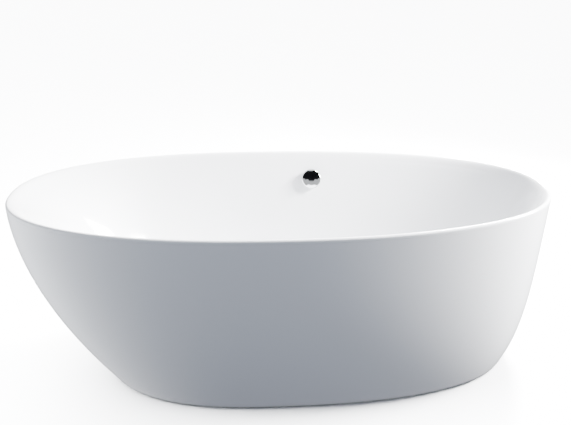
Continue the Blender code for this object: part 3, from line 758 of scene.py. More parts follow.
def rim_stations(shape):
    """The roll from the wall to the crest, then round to the lip."""
    start = basin_reach(shape, ROLL_START_Z)
    slope = (start - basin_reach(shape, ROLL_START_Z - SLOPE_STEP)) / SLOPE_STEP
    rim = rim_reach(shape)
    crest = inset(rim, CREST_INSET)
    handle = start + slope * ROLL_RISE
    pull = inset(crest, ROLL_PULL)
    stations = []
    for step in range(1, 13):
        t = step / 12
        a, b, c, d = (1 - t) ** 3, 3 * t * (1 - t) ** 2, 3 * t * t * (1 - t), t ** 3
        reach = start * a + handle * b + pull * c + crest * d
        z = ROLL_START_Z * a + (ROLL_START_Z + ROLL_RISE) * b + shape.height * (c + d)
        stations.append(station(reach, RIM_SQUARENESS, shape.widest_x, z))
    stations += [station(inset(rim, CREST_INSET * short), RIM_SQUARENESS, shape.widest_x,
                         shape.height - CREST_INSET * drop) for drop, short in quarter_turn(8, 1)]
    stations.append(station(rim, RIM_SQUARENESS, shape.widest_x, shape.lip_z))
    return stations


STATION_FIELDS = ("left", "right", "half", "squareness", "widest", "height")


def station_mesh(name, stations):
    """Stations as a row of points that carry their sizes as attributes."""
    mesh = bpy.data.meshes.new(name)
    mesh.from_pydata([(0.0, 0.0, values[-1]) for values in stations], [], [])
    for column, field in enumerate(STATION_FIELDS):
        attribute = mesh.attributes.new(field, "FLOAT", "POINT")
        attribute.data.foreach_set("value", [values[column] for values in stations])
    return mesh


def section_loft_tree():
    """Lofts superelliptic sections through the stations of the incoming points."""
    nodes, given = geometry_tree("section_loft", [("Around", "NodeSocketInt"),
                                                  ("Material", "NodeSocketMaterial")])
    stations = given["Geometry"]
    count = nodes.add("GeometryNodeAttributeDomainSize", {"Geometry": stations}).outputs["Point Count"]
    across = nodes.math("ADD", given["Around"], 1.0)
    grid = nodes.add("GeometryNodeMeshGrid", {"Size X": 1.0, "Size Y": 1.0, "Vertices X": across,
                                              "Vertices Y": count})
    spot = nodes.separate(nodes.add("GeometryNodeInputPosition").outputs[0])
    angle = nodes.math("MULTIPLY", nodes.math("ADD", spot[0], 0.5), 2 * math.pi)
    last = nodes.math("SUBTRACT", count, 1.0)
    index = nodes.math("ROUND", nodes.math("MULTIPLY", nodes.math("ADD", spot[1], 0.5), last))
    values = {}
    for field in STATION_FIELDS:
        sample = nodes.add("GeometryNodeSampleIndex", {"Geometry": stations, "Index": index})
        nodes.put(sample.inputs["Value"], nodes.attribute(field))
        values[field] = sample.outputs["Value"]
    power = nodes.math("DIVIDE", 2.0, values["squareness"])
    turn = {}
    for key, operation in (("x", "COSINE"), ("y", "SINE")):
        raw = nodes.math(operation, angle)
        size = nodes.math("POWER", nodes.math("ABSOLUTE", raw), power)
        turn[key] = nodes.math("MULTIPLY", size, nodes.math("SIGN", raw))
    forward = nodes.math("GREATER_THAN", turn["x"], 0.0)
    reach_right = nodes.math("SUBTRACT", values["right"], values["widest"])
    reach_left = nodes.math("ADD", values["left"], values["widest"])
    extra = nodes.math("MULTIPLY", forward, nodes.math("SUBTRACT", reach_right, reach_left))
    reach = nodes.math("ADD", reach_left, extra)
    x = nodes.math("MULTIPLY_ADD", reach, turn["x"], values["widest"])
    y = nodes.math("MULTIPLY", values["half"], turn["y"])
    placed = nodes.add("GeometryNodeSetPosition", {"Geometry": grid.outputs["Mesh"],
                                                   "Position": nodes.combine(x, y, values["height"])})
    joined = nodes.add("GeometryNodeMergeByDistance", {"Geometry": placed.outputs[0], "Distance": MERGE})
    smooth = nodes.add("GeometryNodeSetShadeSmooth", {"Geometry": joined.outputs[0]})
    close_tree(nodes, smooth.outputs[0], given["Material"])
    return nodes.tree


def shell_piece(name, stations, wall, around):
    """A lofted acrylic sheet, given its wall on the hidden side."""
    tree = bpy.data.node_groups.get("section_loft") or section_loft_tree()
    piece = run_tree(name, station_mesh(name, stations), tree,
                     {"Around": around, "Material": look("acrylic")})
    piece.data.materials.append(look("backing"))
    shell = piece.modifiers.new("wall", "SOLIDIFY")
    shell.thickness = wall
    shell.offset = -1
    shell.use_even_offset = True
    shell.material_offset = 1
    shell.material_offset_rim = 0
    bake(piece)
    piece.data.set_sharp_from_angle(angle=math.radians(50))
    return piece


# ------------------------------------------------------------------------ operators


def overflow_place():
    """Frame on the back wall: +Z into the basin along the knob's axis, +Y up the wall."""
    inwards = -Vector(KNOB_JOINT["axis"]).normalized()
    right = Vector((0, 0, 1)).cross(inwards).normalized()
    up = inwards.cross(right)
    place = Matrix((right, up, inwards)).transposed().to_4x4()
    place.translation = Vector(KNOB_JOINT["pos_m"])
    return place


def at_drain(height=0.0):
    return Matrix.Translation((DRAIN_X, 0.0, height))


def along(start, direction):
    """A place with its Z along a direction."""
    place = Vector(direction).to_track_quat("Z", "Y").to_matrix().to_4x4()
    place.translation = Vector(start)
    return place


class BATHTUB_OT_basin(bpy.types.Operator):
    """Build the basin with its rim, drain seat and overflow hole"""

    bl_idname = "bathtub.basin"
    bl_label = "Basin"

    def execute(self, context):
        shape = context.scene.bathtub_shape
        basin = shell_piece("basin", basin_stations(shape), shape.basin_wall, shape.around)
        cut_hole(basin, OVERFLOW_HOLE_RADIUS, 0.060, overflow_place())
        finish_piece(basin, ROOT, "acrylic", "inner_shell")
        return {"FINISHED"}


class BATHTUB_OT_skirt(bpy.types.Operator):
    """Build the outer skirt"""

    bl_idname = "bathtub.skirt"
    bl_label = "Skirt"

    def execute(self, context):
        shape = context.scene.bathtub_shape
        skirt = shell_piece("skirt", skirt_stations(shape), shape.skirt_wall, shape.around)
        finish_piece(skirt, ROOT, "acrylic", "outer_shell")
        return {"FINISHED"}


class BATHTUB_OT_overflow(bpy.types.Operator):
    """Build the knob, its spindle and cam, the faceplate and the chamber"""

    bl_idname = "bathtub.overflow"
    bl_label = "Overflow"

    def execute(self, context):
        place = overflow_place()
        turned_piece("knob", "chrome", "overflow_knob",
                     [(0, 0.0215), (0.012, 0.0212), (0.024, 0.0200), (0.0325, 0.0180), (0.0350, 0.0150),
                      (0.0350, 0.0075), (0.0331, 0.0075), (0.0331, 0.0150), (0.0310, 0.0168),
                      (0.0075, 0.0185), (0.0075, 0.0045), (0, 0.0045)],
                     place, 0.0022, 160, False, "knob", steps=8)
        turned_piece("spindle", "brass", "knob_spindle",
                     [(0, 0.0042), (0.0048, 0.0042), (0.0048, 0.0020), (0.0040, 0.0015),
                      (0.0040, -0.0240), (0.0048, -0.0245), (0.0048, -0.0338), (0, -0.0338)],
                     place, 0.0003, 48, False, "knob")
        outer = [point.normalized() * (0.0108 + 0.0078 * max(0.0, point.x) ** 3)
                 for point in circle(1.0, 96)]
        cam = plate("cam", outer, circle(0.0054, 96), 0.0058, look("cam_plastic"),
                    place @ Matrix.Translation((0, 0, CABLE_DEPTH)), 0.0005)
        finish_piece(cam, "knob", "white_plastic", "cable_cam")
        self.faceplate(place)
        turned_piece("wall_gasket", "rubber", "overflow_gasket",
                     [(0.0265, -0.0062), (0.0360, -0.0062), (0.0360, -0.0082), (0.0265, -0.0082)],
                     place, 0.0006)
        self.chamber(place)
        return {"FINISHED"}

    @staticmethod
    def faceplate(place):
        """Ring with three arms that carry the spindle's bush."""
        turned_piece("faceplate", "chrome", "overflow_faceplate",
                     [(0.0212, 0.0034), (0.0300, 0.0034), (0.0338, 0.0022), (0.0338, 0.0010),
                      (0.0245, 0.0010), (0.0245, -0.0118), (0.0212, -0.0118)], place, 0.0008)
        turned_piece("faceplate_bush", "chrome", None,
                     [(0.0054, 0.0), (0.0088, 0.0), (0.0088, -0.0090), (0.0054, -0.0090)],
                     place, 0.0005, 64)
        arm = rounded_box(0.0082, 0.0222, -0.0019, 0.0019, 0.0006, 3)
        eased = shrink(arm, 0.0005, (0.0152, 0))
        rings = [lift(eased, -0.0068), lift(arm, -0.0063), lift(arm, -0.0037), lift(eased, -0.0032)]
        arms("faceplate_arm", "chrome", rings, place)

    @staticmethod
    def chamber(place):
        """Cup behind the wall, with its spout and the cable's gland."""
        bottom = -0.042
        spout = Matrix.Translation((0, 0, SPOUT_DEPTH)) @ Matrix.Rotation(QUARTER, 4, "X")
        to_spout = place @ Matrix.Translation((0, -0.028, 0)) @ spout
        to_port = place @ Matrix.Translation((-0.028, 0, CABLE_DEPTH)) @ Matrix.Rotation(QUARTER, 4, "Y")
        turned_piece("overflow_chamber", "white_plastic", "overflow_body",
                     [(0.0257, -0.0085), (0.0365, -0.0085), (0.0365, -0.0125), (0.0300, -0.0125),
                      (0.0300, bottom), (0, bottom), (0, bottom + 0.003), (0.0257, bottom + 0.003)],
                     place, 0.0009,
                     holes=((0.0128, 0.040, to_spout), (PORT_RADIUS, 0.020, to_port, 24)))
        turned_piece("overflow_spout", "white_plastic", None,
                     [(0.0128, 0.0285), (0.0158, 0.0285), (0.0158, 0.0400), (0.0165, 0.0410),
                      (0.0165, 0.0430), (0.0155, 0.0440), (0.0155, 0.0580), (0.0128, 0.0580)],
                     place @ spout, 0.0004, 64)
        gland_piece("gland_top", place @ along((-0.0303, 0, CABLE_DEPTH), (-1, 0, 0)), "cable_gland_top")


def gland_piece(name, place, node):
    """A small hexagon gland nut that holds the cable's sleeve."""
    outer = hexagon(0.0068, 72)
    inner = circle(PORT_RADIUS, 72)
    collar = circle(0.0052, 72)
    rings = [lift(inner, 0.0002), lift(shrink(outer, 0.0006), 0.0002), lift(outer, 0.0009),
             lift(outer, 0.0055), lift(shrink(outer, 0.0007), 0.0062), lift(collar, 0.0062),
             lift(collar, 0.0112), lift(shrink(collar, 0.0006), 0.0118), lift(inner, 0.0118)]
    finish_piece(ring_loft(name, rings, look("brass"), place, 28), ROOT, "brass", node)


class BATHTUB_OT_waste(bpy.types.Operator):
    """Build the drain flange, plug, seals, guide and body"""

    bl_idname = "bathtub.waste"
    bl_label = "Waste"

    def execute(self, context):
        place = at_drain()
        turned_piece("flange", "chrome", "drain_flange",
                     [(0.0226, 0.1570), (0.0236, 0.1576), (0.0345, 0.1575), (0.0369, 0.1563),
                      (0.0369, 0.1551), (0.0248, 0.1551), (0.0248, 0.1180), (0.0226, 0.1180)],
                     place, 0.0007)
        turned_piece("gasket_upper", "rubber", "drain_gasket_upper",
                     [(0.0270, 0.1547), (0.0360, 0.1547), (0.0360, 0.1539), (0.0270, 0.1539)],
                     place, 0.0003)
        turned_piece("gasket_lower", "rubber", "drain_gasket_lower",
                     [(0.0270, 0.1481), (0.0390, 0.1481), (0.0390, 0.1452), (0.0270, 0.1452)],
                     place, 0.0010)
        turned_piece("plug", "chrome", "drain_plug",
                     [(0, 0.1652), (0.0140, 0.1649), (0.0250, 0.1637), (0.0300, 0.1620),
                      (0.0310, 0.1608), (0.0306, 0.1600), (0.0060, 0.1600), (0.0040, 0.1585),
                      (0.0040, 0.1085), (0.0035, 0.1080), (0, 0.1080)],
                     place, 0.0012, 128, False, "plug")
        turned_piece("seal", "rubber", "plug_seal",
                     [(0.0200, 0.1597), (0.0275, 0.1597), (0.0286, 0.1588), (0.0275, 0.1579),
                      (0.0200, 0.1579)], place, 0.0006, body="plug")
        turned_piece("pin", "brass", "lift_pin",
                     [(0, 0.1077), (0.0026, 0.1077), (0.0030, 0.1072), (0.0030, 0.0922), (0, 0.0920)],
                     place, 0.0003, 40, False, "plug")
        self.guide(place)
        self.body(place)
        self.lift_guide(place)
        return {"FINISHED"}

    @staticmethod
    def guide(place):
        """Spoked ring that keeps the plug's stem upright."""
        turned_piece("guide_ring", "white_plastic", "stem_guide",
                     [(0.0202, 0.1300), (0.0222, 0.1300), (0.0222, 0.1220), (0.0202, 0.1220)],
                     place, 0.0004)
        turned_piece("guide_bush", "white_plastic", None,
                     [(0.0045, 0.1300), (0.0078, 0.1300), (0.0078, 0.1202), (0.0045, 0.1202)],
                     place, 0.0004, 64)
        spoke = rounded_box(0.0074, 0.0206, -0.0014, 0.0014, 0.0005, 3)
        arms("guide_spoke", "white_plastic", [lift(spoke, -0.0030), lift(spoke, 0.0030)], at_drain(0.1260))

    @staticmethod
    def body(place):
        """Moulded cup, and the inlet that the overflow hose joins."""
        side = at_drain(INLET_Z) @ Matrix.Rotation(-QUARTER, 4, "X")
        to_inlet = side @ Matrix.Translation((0, 0, 0.030))
        to_port = along((DRAIN_X - 0.028, 0, CABLE_Z), (-1, 0, 0))
        turned_piece("waste_cup", "white_plastic", "waste_body",
                     [(0.0257, 0.1445), (0.0400, 0.1445), (0.0400, 0.1405), (0.0310, 0.1405),
                      (0.0310, 0.0760), (0.0220, 0.0760), (0.0220, 0.0680), (0.0176, 0.0680),
                      (0.0176, 0.0790), (0.0257, 0.0790)], place, 0.0010,
                     holes=((0.0146, 0.030, to_inlet), (PORT_RADIUS, 0.014, to_port, 24)))
        turned_piece("waste_inlet", "white_plastic", None,
                     [(0.0146, 0.0285), (0.0187, 0.0285), (0.0187, 0.0550), (0.0178, 0.0600),
                      (0.0146, 0.0600)], side, 0.0006, 64)
        gland = along((DRAIN_X - 0.0313, 0, CABLE_Z), (-1, 0, 0))
        gland_piece("gland_bottom", gland, "cable_gland_bottom")

    @staticmethod
    def lift_guide(place):
        """Turns the end of the cable up under the plug's pin."""
        turned_piece("lift_guide", "white_plastic", "cable_end_guide",
                     [(0.0034, 0.1010), (0.0060, 0.1010), (0.0060, 0.0800), (0, 0.0800), (0, 0.0850),
                      (0.0034, 0.0850)], place, 0.0004, 48)
        turned_piece("lift_guide_arm", "white_plastic", None,
                     [(0, 0.0055), (0.0045, 0.0055), (0.0045, 0.0245), (0, 0.0245)],
                     along((DRAIN_X, 0, CABLE_Z), (-1, 0, 0)), 0.0003, 40, False)


class BATHTUB_OT_trap(bpy.types.Operator):
    """Build the trap and its union nut"""

    bl_idname = "bathtub.trap"
    bl_label = "Trap"

    def execute(self, context):
        bend = 0.031
        turn = 0.030
        low_z = 0.060
        outlet_z = 0.100
        rise_x = DRAIN_X + 2 * bend
        path = [Vector((DRAIN_X, 0, 0.0677))]
        for step in range(33):
            angle = math.pi * step / 32
            path.append(Vector((DRAIN_X + bend - bend * math.cos(angle), 0,
                                low_z - bend * math.sin(angle))))
        path += [Vector((rise_x, turn * across, outlet_z - turn * short))
                 for across, short in quarter_turn(16)]
        path.append(Vector((rise_x, 0.120, outlet_z)))
        pipe = swept("trap", path, look("white_plastic"), 0.020, 0.002, 48)
        finish_piece(pipe, ROOT, "white_plastic", "trap_pipe")
        self.union()
        return {"FINISHED"}

    @staticmethod
    def union():
        """The nut that holds the trap, with teeth for the hand."""
        around = 108
        outer = [point.normalized() * (0.0290 if i // 3 % 2 else 0.0280)
                 for i, point in enumerate(circle(1.0, around))]
        inner = circle(0.0224, around)
        collar = circle(0.0272, around)
        rings = [lift(inner, 0.0620), lift(shrink(collar, 0.0005), 0.0620), lift(collar, 0.0626),
                 lift(outer, 0.0634), lift(outer, 0.0738), lift(collar, 0.0748), lift(collar, 0.0755),
                 lift(inner, 0.0755)]
        nut = ring_loft("trap_union", rings, look("white_plastic"), at_drain(), 25)
        finish_piece(nut, ROOT, "white_plastic", "trap_nut")


RIB_STEPS = 8.0            # rings of points to each rib


def ribbed_hose_tree():
    """A hose along the incoming curve, with round ribs at even steps."""
    nodes, given = geometry_tree("ribbed_hose", [
        ("Radius", "NodeSocketFloat"), ("Rib depth", "NodeSocketFloat"),
        ("Rib pitch", "NodeSocketFloat"), ("Plain end", "NodeSocketFloat"),
        ("Sides", "NodeSocketInt"), ("Material", "NodeSocketMaterial")])
    step = nodes.math("DIVIDE", given["Rib pitch"], RIB_STEPS)
    even_curve = nodes.add("GeometryNodeResampleCurve", {"Curve": given["Geometry"], "Length": step},
                           mode="LENGTH")
    way = nodes.add("GeometryNodeSplineParameter").outputs["Length"]
    whole = nodes.add("GeometryNodeSplineLength").outputs["Length"]
    wave = nodes.math("COSINE", nodes.math("MULTIPLY", nodes.math("DIVIDE", way, given["Rib pitch"]),
                                           2 * math.pi))
    valley = nodes.math("MULTIPLY", nodes.math("SUBTRACT", 1.0, wave), 0.5)
    from_start = nodes.math("GREATER_THAN", way, given["Plain end"])
    from_end = nodes.math("GREATER_THAN", nodes.math("SUBTRACT", whole, way), given["Plain end"])
    inside = nodes.math("MULTIPLY", from_start, from_end)
    dip = nodes.math("MULTIPLY", nodes.math("MULTIPLY", valley, given["Rib depth"]), inside)
    radius = nodes.math("SUBTRACT", given["Radius"], dip)
    ring = nodes.add("GeometryNodeCurvePrimitiveCircle", {"Resolution": given["Sides"], "Radius": 1.0})
    hose = nodes.add("GeometryNodeCurveToMesh", {
        "Curve": even_curve.outputs[0], "Profile Curve": ring.outputs[0], "Scale": radius,
        "Fill Caps": True})
    smooth = nodes.add("GeometryNodeSetShadeSmooth", {"Geometry": hose.outputs[0]})
    close_tree(nodes, smooth.outputs[0], given["Material"])
    return nodes.tree


class BATHTUB_OT_lines(bpy.types.Operator):
    """Build the overflow hose, its clamps and the control cable"""

    bl_idname = "bathtub.lines"
    bl_label = "Hose and cable"

    def execute(self, context):
        place = overflow_place()
        down = (place.to_3x3() @ Vector((0, -1, 0))).normalized()
        side = (place.to_3x3() @ Vector((-1, 0, 0))).normalized()
        start = place @ Vector((0, -0.0583, SPOUT_DEPTH))
        inlet = Vector((DRAIN_X, 0.0603, INLET_Z))
        route = [start, start + down * 0.035, (DRAIN_X, 0.322, 0.300), (DRAIN_X, 0.312, 0.200),
                 (DRAIN_X, 0.272, 0.128), (DRAIN_X, 0.200, 0.100), (DRAIN_X, 0.120, INLET_Z), inlet]
        curve = path_curve("hose", smooth_route(route, 0.004))
        hose = run_tree("hose", curve, ribbed_hose_tree(),
                        {"Radius": HOSE_RADIUS, "Rib depth": 0.0022, "Rib pitch": 0.0052,
                         "Plain end": 0.0208, "Sides": 40, "Material": look("grey_plastic")})
        mend(hose.data)
        finish_piece(hose, ROOT, "grey_plastic", "overflow_pipe")
        for end, middle, direction in (("top", start + down * 0.008, down),
                                       ("bottom", inlet + Vector((0, 0.008, 0)), Vector((0, 1, 0)))):
            turned_piece(f"clamp_{end}", "steel", f"pipe_clamp_{end}",
                         [(0.0158, 0.0040), (0.0166, 0.0040), (0.0166, -0.0040), (0.0158, -0.0040)],
                         along(middle, direction), 0.0003, 72)
        top = place @ Vector((-0.0426, 0, CABLE_DEPTH))
        bottom = Vector((DRAIN_X - 0.0436, 0, CABLE_Z))
        route = [top, top + side * 0.012 + down * 0.003, (0.052, 0.366, 0.430),
                 (0.050, 0.335, 0.330), (0.055, 0.315, 0.220), (0.060, 0.280, 0.135),
                 (0.058, 0.210, 0.096), (0.048, 0.120, CABLE_Z), (0.045, 0.045, CABLE_Z),
                 (0.056, 0.008, CABLE_Z), bottom + Vector((-0.006, 0, 0)), bottom]
        cable = swept("cable", smooth_route(route, 0.005), look("rubber"), 0.003, 0.0, 20)
        finish_piece(cable, ROOT, "rubber", "control_cable")
        return {"FINISHED"}


TUBE_WALL = 0.0015
BOARD_POINTS = 192


class BATHTUB_OT_support(bpy.types.Operator):
    """Build the reinforcing board, the rails and the cross members"""

    bl_idname = "bathtub.support"
    bl_label = "Board and frame"

    def execute(self, context):
        low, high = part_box("base_board")
        outline = even(rounded_box(low.x, high.x, low.y, high.y, 0.120, 12), BOARD_POINTS)
        start = min(range(BOARD_POINTS),
                    key=lambda i: abs(math.atan2(outline[i].y, outline[i].x - DRAIN_X)))
        outline = outline[start:] + outline[:start]
        board = plate("board", outline, circle(0.060, BOARD_POINTS, (DRAIN_X, 0.0)), high.z - low.z,
                      look("board"), Matrix.Translation((0, 0, (low.z + high.z) / 2)), 0.0012)
        finish_piece(board, ROOT, "board", "base_board")
        for node in ("rail_front", "rail_back", "cross_member_left", "cross_member_right"):
            self.square_tube(node)
        return {"FINISHED"}

    @staticmethod
    def square_tube(node):
        """A folded and welded tube with round corners, drilled as the frame is."""
        low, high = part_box(node)
        size = high - low
        middle = (low + high) / 2
        longways = size.x > size.y
        half = size.z / 2
        bore = half - TUBE_WALL
        outer = rounded_box(-half, half, -half, half, 0.0025, 5)
        inner = rounded_box(-bore, bore, -bore, bore, 0.0012, 5)
        turn = Matrix.Rotation(QUARTER, 4, "Y" if longways else "X")
        made = plate(node + "_tube", outer, inner, max(size.x, size.y), look("steel"),
                     Matrix.Translation(middle) @ turn, 0.0003)
        if not longways:
            for foot_y in (-FOOT_Y, FOOT_Y):
                cut_hole(made, 0.0066, 0.040, Matrix.Translation((middle.x, foot_y, middle.z)), 32)
        finish_piece(made, ROOT, "steel", node)


COPY_TURN = 0.7            # each copy is turned this much further than the last


def copies_tree():
    """Puts a copy of one piece on every incoming point, turned by the point's own angle."""
    nodes, given = geometry_tree("copies_on_points", [("Piece", "NodeSocketObject"),
                                                      ("Material", "NodeSocketMaterial")])
    piece = nodes.add("GeometryNodeObjectInfo", {"Object": given["Piece"]})
    points = nodes.add("GeometryNodeMeshToPoints", {"Mesh": given["Geometry"]})
    turn = nodes.combine(0.0, 0.0, nodes.attribute("turn"))
    placed = nodes.add("GeometryNodeInstanceOnPoints", {
        "Points": points.outputs[0], "Instance": piece.outputs["Geometry"], "Rotation": turn})
    close_tree(nodes, placed.outputs[0], given["Material"])
    return nodes.tree


def copies(name, single, places):
    """One mesh with a copy of a single piece at each place; the single is removed."""
    points = bpy.data.meshes.new(name)
    points.from_pydata([tuple(place) for place in places], [], [])
    turn = points.attributes.new("turn", "FLOAT", "POINT")
    turn.data.foreach_set("value", [COPY_TURN * i for i in range(len(places))])
    tree = bpy.data.node_groups.get("copies_on_points") or copies_tree()
    made = run_tree(name, points, tree, {"Piece": single, "Material": look("steel")})
    bpy.data.objects.remove(single, do_unlink=True)
    return made


def node_bottom(node):
    low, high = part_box(node)
    return Vector(((low.x + high.x) / 2, (low.y + high.y) / 2, low.z))


def hex_nut(name, across, bore, thickness):
    """A hexagon nut with chamfered faces, standing on the origin."""
    corner = across / 2 / math.cos(math.pi / 6)
    outer = hexagon(corner, 72)
    limit = across / 2 * 1.02
    eased = [point.normalized() * min(point.length, limit) for point in outer]
    ease = (corner - limit) * 0.58
    inner = circle(bore, 72)
    mouth = circle(bore + 0.0006, 72)
    rings = [lift(mouth, 0.0), lift(shrink(eased, 0.0002), 0.0), lift(outer, ease),
             lift(outer, thickness - ease), lift(shrink(eased, 0.0002), thickness),
             lift(mouth, thickness), lift(inner, thickness - 0.0006), lift(inner, 0.0006)]
    return ring_loft(name, rings, look("steel"), None, 28)


class BATHTUB_OT_fasteners(bpy.types.Operator):
    """Build the screws, bolts and nuts of the frame"""

    bl_idname = "bathtub.fasteners"
    bl_label = "Fasteners"

    def execute(self, context):
        self.group("lock_nuts", hex_nut("nut", 0.019, 0.0063, 0.0078), "foot_lock_nut")
        self.group("welded_nuts", hex_nut("nut", 0.019, 0.0063, 0.0098), "foot_weld_nut")
        self.group("bolt_nuts", hex_nut("nut", 0.010, 0.0032, 0.0049), "frame_nut")
        screw = turned("screw", [(0, 0.0), (0.0045, 0.0), (0.0055, 0.0030), (0.0024, 0.0030),
                                 (0.0024, 0.0300), (0.0012, 0.0335), (0, 0.0348)],
                       look("steel"), None, 0.0004, 32)
        self.group("board_screws", screw, "board_screw")
        self.group("frame_bolts", self.bolt(), "frame_bolt")
        return {"FINISHED"}

    @staticmethod
    def group(name, single, prefix):
        nodes = [f"{prefix}_{number}" for number in FEET]
        made = copies(name, single, [node_bottom(node) for node in nodes])
        finish_piece(made, ROOT, "steel", *nodes)

    @staticmethod
    def bolt():
        """A hexagon-headed bolt with its head at the bottom."""
        head = hexagon(0.0064, 48)
        shank = circle(0.0030, 48)
        rings = [lift(shrink(head, 0.0008), 0.0), lift(head, 0.0006), lift(head, 0.0044),
                 lift(shank, 0.0044), lift(shank, 0.0378), lift(shrink(shank, 0.0005), 0.0384)]
        return ring_loft("bolt", rings, look("steel"), capped=True)


THREAD_STEPS = 6.0         # rows of points to each turn of the thread
TURNS_AHEAD = 100.0        # keeps the thread's phase above zero


def threaded_rod_tree():
    """A rod whose skin rises and falls with a helical thread."""
    nodes, given = geometry_tree("threaded_rod", [
        ("Radius", "NodeSocketFloat"), ("Depth", "NodeSocketFloat"), ("Pitch", "NodeSocketFloat"),
        ("Length", "NodeSocketFloat"), ("Sides", "NodeSocketInt"), ("Material", "NodeSocketMaterial")])
    row = nodes.math("DIVIDE", given["Pitch"], THREAD_STEPS)
    rows = nodes.math("ROUND", nodes.math("DIVIDE", given["Length"], row))
    tube = nodes.add("GeometryNodeMeshCylinder", {
        "Vertices": given["Sides"], "Side Segments": rows, "Fill Segments": 1,
        "Radius": given["Radius"], "Depth": given["Length"]})
    spot = nodes.separate(nodes.add("GeometryNodeInputPosition").outputs[0])
    turn = nodes.math("DIVIDE", nodes.math("ARCTAN2", spot[1], spot[0]), 2 * math.pi)
    phase = nodes.math("SUBTRACT", nodes.math("DIVIDE", spot[2], given["Pitch"]), turn)
    saw = nodes.math("FRACT", nodes.math("ADD", phase, TURNS_AHEAD))
    groove = nodes.math("ABSOLUTE", nodes.math("SUBTRACT", nodes.math("MULTIPLY", saw, 2.0), 1.0))
    half = nodes.math("DIVIDE", given["Length"], 2.0)
    to_end = nodes.math("SUBTRACT", half, nodes.math("ABSOLUTE", spot[2]))
    ease = nodes.math("MINIMUM", nodes.math("DIVIDE", to_end, given["Pitch"]), 1.0)
    end_cut = nodes.math("SUBTRACT", 1.0, nodes.math("MAXIMUM", ease, 0.0))
    dip = nodes.math("MULTIPLY", given["Depth"], nodes.math("MAXIMUM", groove, end_cut))
    across = nodes.math("SQRT", nodes.math("ADD", nodes.math("MULTIPLY", spot[0], spot[0]),
                                           nodes.math("MULTIPLY", spot[1], spot[1])))
    factor = nodes.math("DIVIDE", nodes.math("SUBTRACT", given["Radius"], dip), given["Radius"])
    on_skin = nodes.math("GREATER_THAN", across, 1e-5)
    scale = nodes.math("ADD", nodes.math("MULTIPLY", factor, on_skin), nodes.math("SUBTRACT", 1.0, on_skin))
    place = nodes.combine(nodes.math("MULTIPLY", spot[0], scale), nodes.math("MULTIPLY", spot[1], scale),
                          spot[2])
    cut = nodes.add("GeometryNodeSetPosition", {"Geometry": tube.outputs["Mesh"], "Position": place})
    smooth = nodes.add("GeometryNodeSetShadeSmooth", {"Geometry": cut.outputs[0]})
    close_tree(nodes, smooth.outputs[0], given["Material"])
    return nodes.tree


class BATHTUB_OT_feet(bpy.types.Operator):
    """Build the four levelling feet"""

    bl_idname = "bathtub.feet"
    bl_label = "Feet"

    def execute(self, context):
        tree = threaded_rod_tree()
        for number in FEET:
            self.pad(number)
            low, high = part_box(f"foot_rod_{number}")
            middle = (low + high) / 2
            empty = bpy.data.meshes.new("rod")
            threaded = run_tree(f"threaded_rod_{number}", empty, tree, {
                "Radius": 0.0060, "Depth": 0.0009, "Pitch": 0.00175, "Length": high.z - low.z,
                "Sides": 24, "Material": look("steel")})
            threaded.data.transform(Matrix.Translation(middle))
            threaded.data.set_sharp_from_angle(angle=math.radians(60))
            finish_piece(threaded, f"rod_{number}", "steel", f"foot_rod_{number}")
        return {"FINISHED"}

    @staticmethod
    def pad(number):
        """A moulded foot with a socket for the rod and a soft edge."""
        profile = [(0, 0.0140), (0.0056, 0.0140), (0.0060, 0.0100), (0.0094, 0.0100), (0.0094, 0.0198),
                   (0.0118, 0.0198), (0.0126, 0.0180), (0.0150, 0.0098), (0.0200, 0.0076),
                   (0.0270, 0.0066), (0.0297, 0.0052), (0.0299, 0.0004), (0.0290, 0.0),
                   (0.0240, 0.0), (0.0234, 0.0010), (0.0210, 0.0010), (0.0204, 0.0), (0, 0.0)]
        place = Matrix.Translation(node_bottom(f"foot_pad_{number}"))
        turned_piece(f"pad_{number}", "rubber", f"foot_pad_{number}", profile, place, 0.0008, 72, False,
                     f"foot_{number}")


# ---------------------------------------------------------------------------- stage


def blend_surface(nodes, output, factor, first, second):
    """Sends a mix of two shaders to the output."""
    mix = nodes.add("ShaderNodeMixShader", {"Fac": factor})
    nodes.put(mix.inputs[1], first.outputs[0])
    nodes.put(mix.inputs[2], second.outputs[0])
    nodes.put(nodes.tree.nodes[output].inputs["Surface"], mix.outputs[0])


def area_light(name, size, place, aim, power, colour=(1, 1, 1), mirrored=True):
    data = bpy.data.lights.new(name, "AREA")
    data.shape = "RECTANGLE"
    data.size, data.size_y = size
    data.energy = power
    data.color = colour
    made = link(name, data)
    made.location = place
    made.rotation_euler = (Vector(aim) - Vector(place)).to_track_quat("-Z", "Y").to_euler()
    made.visible_glossy = mirrored


